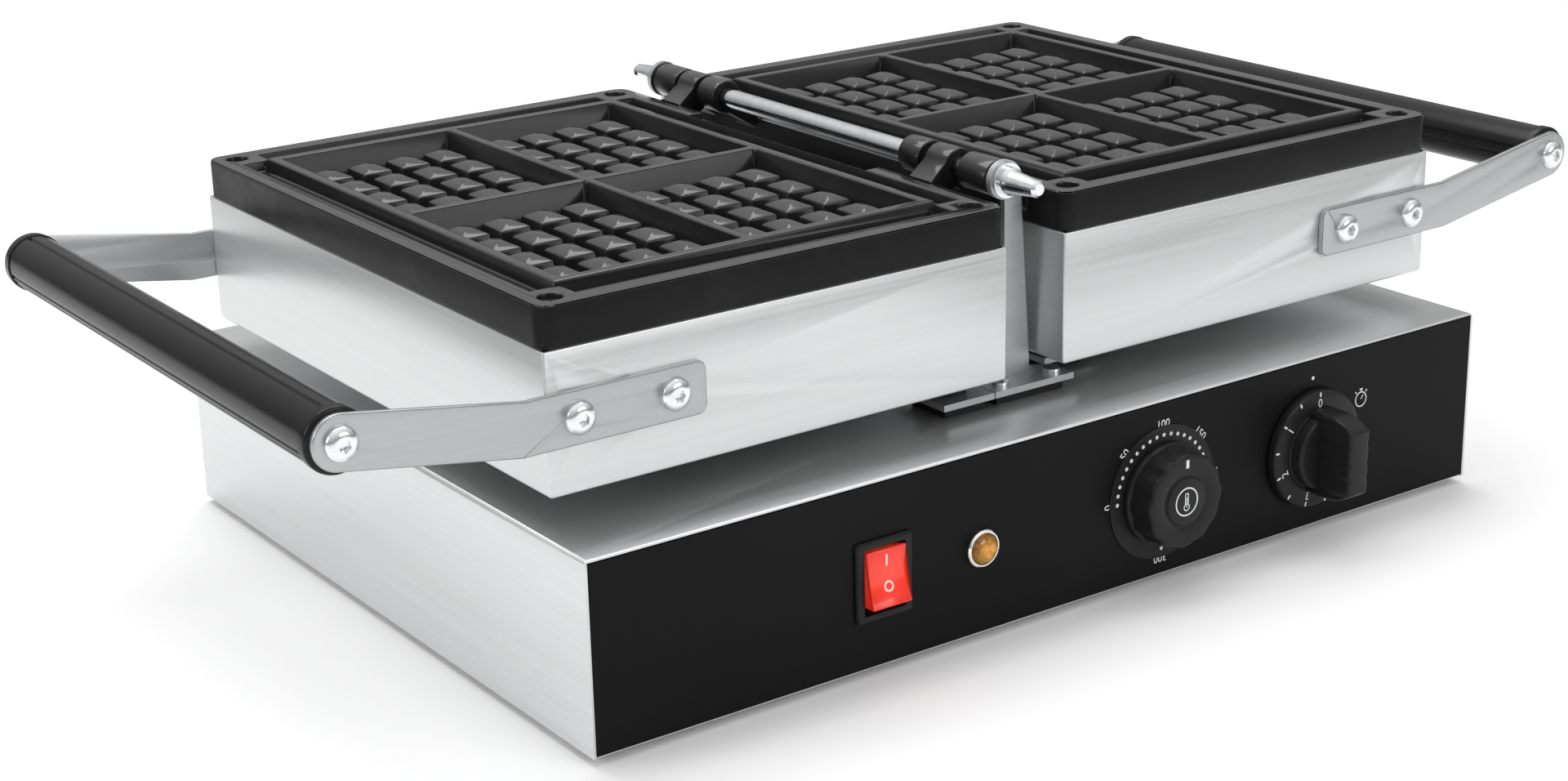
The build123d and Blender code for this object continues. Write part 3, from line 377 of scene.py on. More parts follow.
def plain_pad(name, colour, roughness, grain_scale):
    """Inner pads and bodies: a fibrous or powdery surface."""
    finish = Finish(name, specular_ior_level=0.3)
    fibres = finish.noise(grain_scale, 5.0, (1.0, 1.0, 6.0), 0.7)
    finish.set("Base Color", finish.blend(fibres, shade(colour, 0.7), shade(colour, 1.15)))
    finish.set("Roughness", (fibres - 0.5) * 0.2 + roughness)
    finish.bump(fibres, 0.0004, 0.6)
    return finish.material


finishes = {}


def finish_all(colours):
    """Makes each material once."""
    lens = middle("lamp_lens")
    switch = middle("rocker")
    finishes.update(
        steel=brushed_metal("housing_steel", colours.steel, 0.34),
        strap=brushed_metal("strap_steel", colours.strap, 0.36, 0.8),
        zinc=bright_zinc("bright_zinc", colours.zinc),
        shaft=bright_zinc("ground_shaft", shade(colours.zinc, 0.95), 0.16),
        casting=coated_casting("coated_casting", colours.casting),
        black_oxide=bright_zinc("black_oxide", (0.10, 0.10, 0.105), 0.34),
        panel=printed_overlay("panel_overlay", colours.panel),
        grip=moulded_plastic("grip_phenolic", shade(colours.moulding, 0.6), 0.2, 0.4, 0.22),
        knob=moulded_plastic("knob_moulding", colours.moulding, 0.34),
        bezel=moulded_plastic("switch_frame", colours.moulding, 0.38),
        dial=moulded_plastic("dial_disc", shade(colours.moulding, 1.1), 0.42),
        rubber=soft_rubber("black_rubber", colours.rubber),
        ink=ink("pale_ink", colours.ink),
        rocker=lit_plastic("lit_red", colours.switch_red, switch, 0.016, 0.55, (1.0, 0.10, 0.05)),
        amber=lit_plastic(
            "lit_amber", colours.amber, lens, 0.0072, 0.35, (1.0, 0.60, 0.10), 0.08, edge=0.14, patches=3.2
        ),
        chrome=bright_zinc("lamp_chrome", (0.86, 0.86, 0.86), 0.10),
        ceramic=plain_pad("pale_terminal", (0.80, 0.79, 0.74), 0.5, 400.0),
        phenolic=plain_pad("brown_phenolic", (0.16, 0.11, 0.07), 0.5, 300.0),
        wool=plain_pad("mineral_wool", (0.62, 0.58, 0.46), 0.9, 160.0),
        element=brushed_metal("heat_tinted_tube", (0.30, 0.26, 0.24), 0.45),
        sheet=brushed_metal("plain_sheet", (0.58, 0.58, 0.57), 0.42, 0.5),
    )


def paint(piece, finish):
    piece.data.materials.clear()
    piece.data.materials.append(finishes[finish])


# ---- mesh building --------------------------------------------------------------------------


def add_piece(name, mesh, body, finish=None, sharp=35.0):
    """Links a finished mesh as a piece on a CAD body."""
    piece = bpy.data.objects.new(name, mesh)
    bpy.context.scene.collection.objects.link(piece)
    if finish:
        paint(piece, finish)
    mesh.shade_smooth()
    mesh.set_sharp_from_angle(angle=math.radians(sharp))
    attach(piece, body)
    return piece


def body_with(node):
    """Name of the CAD body that holds a node."""
    bodies = frame["record"]["behaviour"]["bodies"]
    return next(name for name, members in bodies.items() if node in members)


def slot_with(node):
    return next(item["material_slot"] for item in frame["record"]["subparts"] if item["node"] == node)


def baked(piece):
    """The plain mesh that an object's modifiers make."""
    graph = bpy.context.evaluated_depsgraph_get()
    return bpy.data.meshes.new_from_object(piece.evaluated_get(graph))


def softened(node, finish, width, segments=2, angle=32.0):
    """A copy of a CAD node with rounded edges, standing for it."""
    mesh = nodes[node].data.copy()
    shape = bmesh.new()
    shape.from_mesh(mesh)
    bmesh.ops.remove_doubles(shape, verts=shape.verts, dist=0.002 * MM)
    bmesh.ops.dissolve_limit(shape, angle_limit=math.radians(0.5), verts=shape.verts, edges=shape.edges)
    shape.to_mesh(mesh)
    shape.free()
    mesh.shade_smooth()
    blank = bpy.data.objects.new(f"{node}_blank", mesh)
    bpy.context.scene.collection.objects.link(blank)
    rounding = blank.modifiers.new("Rounded edges", "BEVEL")
    rounding.width = width
    rounding.segments = segments
    rounding.limit_method = "ANGLE"
    rounding.angle_limit = math.radians(angle)
    rounding.use_clamp_overlap = False
    rounding.harden_normals = True
    rounded = baked(blank)
    bpy.data.objects.remove(blank)
    piece = add_piece(f"{node}_rounded", rounded, body_with(node), finish, 40.0)
    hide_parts(node)
    return piece


def mesh_from(name, points, faces):
    mesh = bpy.data.meshes.new(name)
    mesh.from_pydata(points, [], faces)
    shape = bmesh.new()
    shape.from_mesh(mesh)
    bmesh.ops.remove_doubles(shape, verts=shape.verts, dist=0.0005 * MM)
    bmesh.ops.recalc_face_normals(shape, faces=shape.faces)
    shape.to_mesh(mesh)
    shape.free()
    return mesh


def loft(name, loops, start_cap=True, end_cap=True):
    """A skin over closed loops of equal length."""
    count = len(loops[0])
    points = [point for loop in loops for point in loop]
    faces = []
    for row in range(len(loops) - 1):
        for step in range(count):
            after = (step + 1) % count
            here, above = row * count, (row + 1) * count
            faces.append((here + step, here + after, above + after, above + step))
    if start_cap:
        faces.append(tuple(range(count)))
    if end_cap:
        faces.append(tuple((len(loops) - 1) * count + step for step in range(count)))
    return mesh_from(name, points, faces)


def round_loop(centre, radius, y, count=96, shape=None):
    """A loop round a centre in a plane of constant Y; shape gives the radius by angle."""
    loop = []
    for step in range(count):
        angle = 2 * math.pi * step / count
        reach = shape(angle, radius) if shape else radius
        loop.append((centre.x + reach * math.cos(angle), y, centre.z + reach * math.sin(angle)))
    return loop


def rounded_rectangle(half_width, half_height, radius, corner_steps=5):
    """Outline of a rectangle with round corners, about the origin."""
    outline = []
    for corner, (sx, sz) in enumerate(((1, 1), (-1, 1), (-1, -1), (1, -1))):
        for step in range(corner_steps + 1):
            angle = math.pi / 2 * (corner + step / corner_steps)
            outline.append(
                (
                    sx * (half_width - radius) + radius * math.cos(angle),
                    sz * (half_height - radius) + radius * math.sin(angle),
                )
            )
    return outline


def join(name, meshes):
    """One mesh out of several."""
    shape = bmesh.new()
    for mesh in meshes:
        shape.from_mesh(mesh)
    joined = bpy.data.meshes.new(name)
    shape.to_mesh(joined)
    shape.free()
    return joined


# ---- geometry node trees ----------------------------------------------------------------------


class Layout:
    """A geometry node tree with named inputs."""

    def __init__(self, name, inputs):
        self.tree = bpy.data.node_groups.new(name, "GeometryNodeTree")
        self.identifiers = {}
        for label, kind in inputs:
            socket = self.tree.interface.new_socket(label, in_out="INPUT", socket_type=kind)
            self.identifiers[label] = socket.identifier
        self.tree.interface.new_socket("Geometry", in_out="OUTPUT", socket_type="NodeSocketGeometry")
        self.entry = self.tree.nodes.new("NodeGroupInput")

    def node(self, kind, settings=(), **inputs):
        """Adds a node, sets it up and links or fills its sockets."""
        node = self.tree.nodes.new(kind)
        for attribute, setting in dict(settings).items():
            setattr(node, attribute, setting)
        for key, item in inputs.items():
            key = key.replace("_", " ")
            socket = next(socket for socket in node.inputs if socket.name == key and socket.enabled)
            if isinstance(item, bpy.types.NodeSocket):
                self.tree.links.new(item, socket)
            else:
                socket.default_value = item
        return node

    def given(self, label):
        return self.entry.outputs[label]

    def sum(self, operation, first, second):
        node = self.tree.nodes.new("ShaderNodeMath")
        node.operation = operation
        for socket, item in zip(node.inputs, (first, second)):
            if isinstance(item, bpy.types.NodeSocket):
                self.tree.links.new(item, socket)
            else:
                socket.default_value = item
        return node.outputs[0]

    def finish(self, geometry, material):
        real = self.node("GeometryNodeRealizeInstances", Geometry=geometry)
        painted = self.node("GeometryNodeSetMaterial", Geometry=real.outputs[0], Material=material)
        exit_node = self.tree.nodes.new("NodeGroupOutput")
        self.tree.links.new(painted.outputs[0], exit_node.inputs[0])

    def apply(self, name, mesh, values):
        """Runs the tree on a mesh with the named values, and gives the resulting plain mesh."""
        carrier = bpy.data.objects.new(name, mesh)
        bpy.context.scene.collection.objects.link(carrier)
        modifier = carrier.modifiers.new("Layout", "NODES")
        modifier.node_group = self.tree
        for label, value in values.items():
            modifier[self.identifiers[label]] = value
        result = baked(carrier)
        bpy.data.objects.remove(carrier)
        return result


layouts = {}


def fastener_layout():
    """One fastener on each point, its head along the point's facing."""
    layout = Layout(
        "Fasteners",
        [
            ("Geometry", "NodeSocketGeometry"),
            ("Fastener", "NodeSocketObject"),
            ("Scale", "NodeSocketFloat"),
            ("Finish", "NodeSocketMaterial"),
        ],
    )
    facing = layout.node("GeometryNodeInputNamedAttribute", {"data_type": "FLOAT_VECTOR"}, Name="facing")
    turn = layout.node("FunctionNodeAlignRotationToVector", {"axis": "Z"}, Vector=facing.outputs[0])
    sixth_turn = math.pi / 3
    spin = layout.node("FunctionNodeRandomValue", {"data_type": "FLOAT"}, Min=0.0, Max=sixth_turn, Seed=7)
    about = layout.node("ShaderNodeCombineXYZ", Z=next(s for s in spin.outputs if s.enabled))
    spun = layout.node(
        "FunctionNodeRotateRotation",
        {"rotation_space": "LOCAL"},
        Rotation=turn.outputs[0],
        Rotate_By=about.outputs[0],
    )
    fastener = layout.node("GeometryNodeObjectInfo", Object=layout.given("Fastener"))
    placed = layout.node(
        "GeometryNodeInstanceOnPoints",
        Points=layout.given("Geometry"),
        Instance=fastener.outputs["Geometry"],
        Rotation=spun.outputs[0],
        Scale=layout.given("Scale"),
    )
    layout.finish(placed.outputs[0], layout.given("Finish"))
    return layout


def arc_layout():
    """Flat marks in a row round an arc: dots, or ticks where they are longer than wide."""
    layout = Layout(
        "Marks on an arc",
        [
            ("Geometry", "NodeSocketGeometry"),
            ("Count", "NodeSocketInt"),
            ("Radius", "NodeSocketFloat"),
            ("Start", "NodeSocketFloat"),
            ("Step", "NodeSocketFloat"),
            ("Width", "NodeSocketFloat"),
            ("Length", "NodeSocketFloat"),
            ("Finish", "NodeSocketMaterial"),
        ],
    )
    row = layout.node("GeometryNodePoints", Count=layout.given("Count"))
    index = layout.node("GeometryNodeInputIndex").outputs[0]
    angle = layout.sum("ADD", layout.sum("MULTIPLY", index, layout.given("Step")), layout.given("Start"))
    place = layout.node(
        "ShaderNodeCombineXYZ",
        X=layout.sum("MULTIPLY", layout.sum("COSINE", angle, 0.0), layout.given("Radius")),
        Y=layout.sum("MULTIPLY", layout.sum("SINE", angle, 0.0), layout.given("Radius")),
    )
    ring = layout.node("GeometryNodeSetPosition", Geometry=row.outputs[0], Position=place.outputs[0])
    disc = layout.node("GeometryNodeMeshCircle", {"fill_type": "NGON"}, Vertices=16, Radius=0.5)
    size = layout.node("ShaderNodeCombineXYZ", X=layout.given("Length"), Y=layout.given("Width"), Z=1.0)
    turn = layout.node("ShaderNodeCombineXYZ", Z=angle)
    placed = layout.node(
        "GeometryNodeInstanceOnPoints",
        Points=ring.outputs[0],
        Instance=disc.outputs[0],
        Rotation=turn.outputs[0],
        Scale=size.outputs[0],
    )
    layout.finish(placed.outputs[0], layout.given("Finish"))
    return layout


def points_facing(name, places, facings):
    """A mesh of points with the direction that each one looks."""
    mesh = bpy.data.meshes.new(name)
    mesh.from_pydata(places, [], [])
    facing = mesh.attributes.new("facing", "FLOAT_VECTOR", "POINT")
    for item, direction in zip(facing.data, facings):
        item.vector = direction
    return mesh


# ---- fasteners ---------------------------------------------------------------------------------


def domed_head(radius, height, socket_radius):
    """Button head with a hexagon socket, its seat at the origin and its dome along +Z."""
    count = 48

    def ring(reach, z):
        return [
            (reach * math.cos(2 * math.pi * k / count), reach * math.sin(2 * math.pi * k / count), z)
            for k in range(count)
        ]

    def hexagon(reach, z):
        loop = []
        for k in range(count):
            angle = 2 * math.pi * k / count
            inside = (angle + math.pi / 6) % (math.pi / 3) - math.pi / 6
            side = reach * math.cos(math.pi / 6) / math.cos(inside)
            loop.append((side * math.cos(angle), side * math.sin(angle), z))
        return loop

    loops = [ring(radius * 0.6, 0.0), ring(radius, 0.0), ring(radius, height * 0.12)]
    crown_steps = 8
    crown_lean = 1.257
    for step in range(1, crown_steps + 1):
        lean = math.radians(10 + 62 * step / crown_steps)
        rise = 0.12 + 0.88 * math.sin(lean) / math.sin(crown_lean)
        loops.append(ring(radius * math.cos(lean) ** 0.62, height * rise))
    rim = socket_radius * 1.12
    loops.append(ring(rim, height))
    loops.append(hexagon(socket_radius, height - 0.1 * MM))
    loops.append(hexagon(socket_radius, height - 1.8 * MM))
    loops.append(ring(socket_radius * 0.5, height - 2.1 * MM))
    return loft("domed_head", loops)


def prototype(name, mesh):
    """An object that trees copy from; it is removed before the scene is finished."""
    piece = bpy.data.objects.new(name, mesh)
    bpy.context.scene.collection.objects.link(piece)
    mesh.shade_smooth()
    mesh.set_sharp_from_angle(angle=math.radians(30))
    return piece


# ---- operators -----------------------------------------------------------------------------------


class WAFFLE_OT_finishes(bpy.types.Operator):
    """Makes the materials and gives every carried-over node its finish"""

    bl_idname = "waffle.finishes"
    bl_label = "Finishes"

    def execute(self, context):
        finish_all(context.scene.waffle_finishes)
        by_slot = {
            "housing_steel": "steel",
            "strap_steel": "strap",
            "panel_black": "panel",
            "cast_plate": "casting",
            "zinc_screws": "zinc",
            "hinge_shaft_steel": "shaft",
            "plate_screw_black": "black_oxide",
            "thrust_black": "bezel",
            "rubber_black": "rubber",
            "grip_black": "grip",
            "switch_black": "bezel",
            "rocker_red": "rocker",
            "knob_black": "knob",
            "dial_black": "dial",
            "lamp_chrome": "chrome",
            "lamp_amber": "amber",
            "control_body": "phenolic",
            "terminal_white": "ceramic",
            "element_steel": "element",
            "clamp_sheet": "sheet",
            "mineral_wool": "wool",
        }
        for name, piece in nodes.items():
            paint(piece, by_slot[slot_with(name)])
        return {"FINISHED"}


class WAFFLE_OT_steelwork(bpy.types.Operator):
    """Rounds the edges of the housing, the pans and the straps"""

    bl_idname = "waffle.steelwork"
    bl_label = "Steelwork"

    def execute(self, context):
        edge = context.scene.waffle_sizes.edge
        softened("base_shell", "steel", edge)
        for side in SIDES:
            softened(f"{side}_pan", "steel", edge)
            softened(f"{side}_strap_front", "strap", edge)
            softened(f"{side}_strap_rear", "strap", edge)
        return {"FINISHED"}


class WAFFLE_OT_plates(bpy.types.Operator):
    """Rounds the casting edges of both baking plates"""

    bl_idname = "waffle.plates"
    bl_label = "Baking plates"

    def execute(self, context):
        for side in SIDES:
            softened(f"{side}_waffle_plate", "casting", context.scene.waffle_sizes.casting_edge)
        return {"FINISHED"}


class WAFFLE_OT_grips(bpy.types.Operator):
    """Grooved black grips with a collar at each end"""

    bl_idname = "waffle.grips"
    bl_label = "Grips"

    def execute(self, context):
        groove = context.scene.waffle_sizes.groove
        for side, turn in (("left", 1), ("right", -1)):
            node = f"{side}_grip"
            low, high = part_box(node)
            centre = (low + high) / 2
            collar = (high.x - low.x) / 2
            radius = collar - 0.5 * MM
            lines = [90 + turn * offset for offset in (11, 107, 121, 135)]

            def grooved(angle, reach):
                degrees = math.degrees(angle)
                nearest = min(abs((degrees - line + 180) % 360 - 180) for line in lines)
                return reach - groove * max(0.0, 1 - (nearest / 4.2) ** 2)

            around = 180
            collar_length = 5 * MM
            bore = 4.2 * MM
            rounding = 1.2 * MM
            loops = [round_loop(centre, bore, low.y, around)]
            loops.append(round_loop(centre, collar - rounding, low.y, around))
            for step in range(5):
                lean = math.pi / 2 * step / 4
                reach = collar - rounding * (1 - math.sin(lean))
                y = low.y + rounding * (1 - math.cos(lean))
                loops.append(round_loop(centre, reach, y, around))
            loops.append(round_loop(centre, collar, low.y + collar_length - 0.5 * MM, around))
            loops.append(round_loop(centre, radius - 0.2 * MM, low.y + collar_length, around))
            collar_loops = list(loops)
            stretch = high.y - low.y - 2 * collar_length
            for step in range(13):
                y = low.y + collar_length + stretch * step / 12
                loops.append(round_loop(centre, radius, y, around, grooved))
            for loop in reversed(collar_loops):
                loops.append([(x, low.y + high.y - y, z) for x, y, z in loop])
            mesh = loft(node, loops, False, False)
            piece = add_piece(f"{side}_moulded_grip", mesh, f"{side}_iron", "grip", 50)
            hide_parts(node)
        return {"FINISHED"}


class WAFFLE_OT_fasteners(bpy.types.Operator):
    """Domed socket screws of the straps and grips"""

    bl_idname = "waffle.fasteners"
    bl_label = "Fasteners"

    def execute(self, context):
        layouts["fasteners"] = fastener_layout()
        head = prototype("button_head", domed_head(HEAD_RADIUS, HEAD_HEIGHT, SOCKET_RADIUS))
        for side, sign in (("left", -1), ("right", 1)):
            node = f"{side}_handle_screws"
            low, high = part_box(node)
            pan_low, pan_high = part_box(f"{side}_pan")
            outer = pan_low.x if sign < 0 else pan_high.x
            grip = middle(f"{side}_grip")
            strap_z = low.z + HEAD_RADIUS
            places = []
            facings = []
            for y, way in ((low.y + HEAD_HEIGHT, -1), (high.y - HEAD_HEIGHT, 1)):
                insets = [(outer - sign * inset, strap_z) for inset in SCREW_INSETS]
                for x, z in (*insets, (grip.x, grip.z)):
                    places.append((x, y, z))
                    facings.append((0, way, 0))
            mesh = layouts["fasteners"].apply(
                f"{side}_screw_points",
                points_facing(node, places, facings),
                {"Fastener": head, "Scale": 1.0, "Finish": finishes["zinc"]},
            )
            shape = bmesh.new()
            shape.from_mesh(mesh)
            bmesh.ops.recalc_face_normals(shape, faces=shape.faces)
            shape.to_mesh(mesh)
            shape.free()
            piece = add_piece(f"{side}_domed_screws", mesh, f"{side}_iron", None, 30)
            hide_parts(node)
        bpy.data.objects.remove(head)
        return {"FINISHED"}


def flat_text(name, words, size, place, turn=0.0):
    """Generic numbers as thin raised print, facing the operator."""
    curve = bpy.data.curves.new(name, "FONT")
    curve.body = words
    curve.size = size
    curve.align_x = "CENTER"
    curve.align_y = "CENTER"
    curve.extrude = TYPE_DEPTH / 2
    curve.resolution_u = 4
    writing = bpy.data.objects.new(name, curve)
    bpy.context.scene.collection.objects.link(writing)
    mesh = baked(writing)
    bpy.data.objects.remove(writing)
    onto_face = Matrix.Rotation(math.radians(90), 4, "X")
    mesh.transform(Matrix.Translation(place) @ onto_face @ Matrix.Rotation(turn, 4, "Z"))
    return mesh


def marks(name, count, radius, start, step, width, length, centre):
    """Printed dots or ticks round an arc, facing the operator. Angles in degrees."""
    if "arc" not in layouts:
        layouts["arc"] = arc_layout()
    mesh = layouts["arc"].apply(
        name,
        bpy.data.meshes.new(name),
        {
            "Count": count,
            "Radius": radius,
            "Start": math.radians(start),
            "Step": math.radians(step),
            "Width": width,
            "Length": length,
            "Finish": finishes["ink"],
        },
    )
    mesh.transform(Matrix.Translation(centre) @ Matrix.Rotation(math.radians(90), 4, "X"))
    return mesh


def ring_mesh(name, centre, outer, inner, y, count=64):
    """A thin flat ring of print."""
    return loft(
        name,
        [
            round_loop(centre, inner, y, count),
            round_loop(centre, inner, y - INK_DEPTH, count),
            round_loop(centre, outer, y - INK_DEPTH, count),
            round_loop(centre, outer, y, count),
        ],
        False,
        False,
    )


def print_piece(name, meshes, body):
    """Joins printed marks to one piece on a body."""
    return add_piece(name, join(name, meshes), body, "ink", 30)


def bar_mesh(name, start, end, width, y):
    """A thin printed stroke between two points (x, z)."""
    along = Vector((end[0] - start[0], end[1] - start[1])).normalized()
    across = Vector((-along.y, along.x)) * width / 2
    corners = [
        (start[0] + across.x, start[1] + across.y),
        (end[0] + across.x, end[1] + across.y),
        (end[0] - across.x, end[1] - across.y),
        (start[0] - across.x, start[1] - across.y),
    ]
    return loft(name, [[(x, y, z) for x, z in corners], [(x, y - INK_DEPTH, z) for x, z in corners]])


class WAFFLE_OT_switch(bpy.types.Operator):
    """Lit rocker with its on and off marks, and the amber signal lamp"""

    bl_idname = "waffle.switch"
    bl_label = "Switch and lamp"

    def execute(self, context):
        softened("rocker_frame", "bezel", 0.4 * MM)
        softened("rocker", "rocker", 0.5 * MM, 3)
        lean = math.radians(10)
        pieces = []
        # each mark lies on its half of the dished face: how high, how far out, how much tipped
        places = (("on", 6.4 * MM, 6.83 * MM, 1.2), ("off", -3.4 * MM, 6.38 * MM, -16.0))
        for mark, reach, out, tip in places:
            out += INK_DEPTH
            y = rocker_place.y - out * math.cos(lean) + reach * math.sin(lean)
            z = rocker_place.z + reach * math.cos(lean) + out * math.sin(lean)
            place = Vector((rocker_place.x, y, z))
            if mark == "on":
                mesh = bar_mesh(mark, (place.x, z - 2.2 * MM), (place.x, z + 2.2 * MM), 0.8 * MM, y)
            else:
                mesh = ring_mesh(mark, place, 2.1 * MM, 1.35 * MM, y)
            tipped = Matrix.Rotation(math.radians(tip), 4, "X")
            mesh.transform(Matrix.Translation(place) @ tipped @ Matrix.Translation(-place))
            pieces.append(mesh)
        print_piece("rocker_marks", pieces, "rocker")
        self.lamp()
        return {"FINISHED"}

    def lamp(self):
        """Faceted lens in a bright ring."""
        low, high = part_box("lamp_lens")
        centre = (low + high) / 2
        radius = (high.x - low.x) / 2
        depth = high.y - low.y
        facets = 12
        loops = []
        for share, inset in ((0.0, 0.0), (0.30, 0.0), (0.42, 0.07)):
            loops.append(round_loop(centre, radius * (1 - inset), high.y - depth * share, facets * 2))

        def petals(angle, reach):
            return reach * (1 - 0.035 * (0.5 + 0.5 * math.cos(facets * angle)))

        for step in range(1, 6):
            lean = math.pi / 2 * step / 6
            loops.append(
                round_loop(
                    centre,
                    radius * 0.93 * math.cos(lean),
                    high.y - depth * (0.42 + 0.57 * math.sin(lean)),
                    facets * 2,
                    petals,
                )
            )
        lens = add_piece("faceted_lens", loft("faceted_lens", loops), "base", "amber", 8)
        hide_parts("lamp_lens")


class WAFFLE_OT_thermostat(bpy.types.Operator):
    """Scalloped temperature knob, its dial and printed scale"""

    bl_idname = "waffle.thermostat"
    bl_label = "Thermostat"

    def execute(self, context):
        centre = thermostat_place
        low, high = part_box("temperature_knob")
        front = low.y
        back = high.y
        outer = (high.x - low.x) / 2
        radius = outer - 1.0 * MM
        scallops = 12

        def scalloped(angle, reach):
            dip = (0.5 + 0.5 * math.cos(scallops * (angle - math.pi / 2) + math.pi)) ** 1.6
            return reach - 0.9 * MM * dip * min(1.0, reach / radius) ** 6

        around = 192
        loops = [round_loop(centre, 4 * MM, back, around), round_loop(centre, outer, back, around)]
        loops.append(round_loop(centre, outer, back - 1.8 * MM, around))
        loops.append(round_loop(centre, outer - 0.6 * MM, back - 2.4 * MM, around))
        loops.append(round_loop(centre, radius + 0.2 * MM, back - 2.6 * MM, around, scalloped))
        shoulder = 1.4 * MM
        for step in range(7):
            lean = math.pi / 2 * step / 6
            reach = radius - 0.6 * MM - shoulder * (1 - math.cos(lean))
            y = front + shoulder * (1 - math.sin(lean))
            loops.append(round_loop(centre, reach, y, around, scalloped))
        dish = ((12.2, 0.0), (11.0, 0.5), (10.2, 0.7), (9.9, 0.7), (9.7, 0.5), (9.5, 0.1), (9.2, 0.0))
        for reach, sink in dish:
            loops.append(round_loop(centre, reach * MM, front + sink * MM, around))
        loops.append(round_loop(centre, 0.5 * MM, front, around))
        mesh = loft("scalloped_knob", loops)
        knob = add_piece("scalloped_knob", mesh, "temperature_knob", "knob", 40)
        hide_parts("temperature_knob")

        # pointer line and thermometer sign on the knob
        sign_y = front - 0.02 * MM
        pointer_y = front + 0.03 * MM
        x, z = centre.x, centre.z
        unit = 0.70 * MM
        line = 0.42 * MM
        strokes = [
            bar_mesh("pointer", (x, z + 13.6 * MM), (x, z + 16.9 * MM), 1.5 * MM, pointer_y),
            ring_mesh("sign_ring", centre, 5.8 * MM, 5.2 * MM, sign_y),
            ring_mesh("bulb", Vector((x, centre.y, z - 3.2 * unit)), 2.2 * unit, 1.6 * unit, sign_y, 32),
        ]
        for name, x_from, z_from, x_to, z_to in (
            ("stem_left", -1.05, -1.3, -1.05, 4.6),
            ("stem_right", 1.05, -1.3, 1.05, 4.6),
            ("column", 0.0, -3.2, 0.0, 2.6),
            ("cap", -1.2, 4.7, 1.2, 4.7),
        ):
            start = (x + x_from * unit, z + z_from * unit)
            end = (x + x_to * unit, z + z_to * unit)
            strokes.append(bar_mesh(name, start, end, line, sign_y))
        print_piece("temperature_knob_sign", strokes, "temperature_knob")

        # scale: a dot every ten degrees, a number every fifty
        dial_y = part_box("temperature_dial")[0].y - 0.03 * MM
        face = Vector((centre.x, dial_y, centre.z))
        scale = [marks("scale_dots", 31, 23.4 * MM, 180, -9, 1.6 * MM, 1.6 * MM, face)]
        digit = context.scene.waffle_sizes.digit
        for step, words in enumerate(("0", "50", "100", "150", "200", "250", "300")):
            angle = math.radians(180 - 45 * step)
            reach = 27.6 * MM
            x = centre.x + reach * math.cos(angle)
            place = Vector((x, panel_y - INK_DEPTH, centre.z + reach * math.sin(angle)))
            scale.append(flat_text(f"degrees_{words}", words, digit, place, angle - math.pi / 2))
        print_piece("temperature_scale", scale, "base")
        return {"FINISHED"}


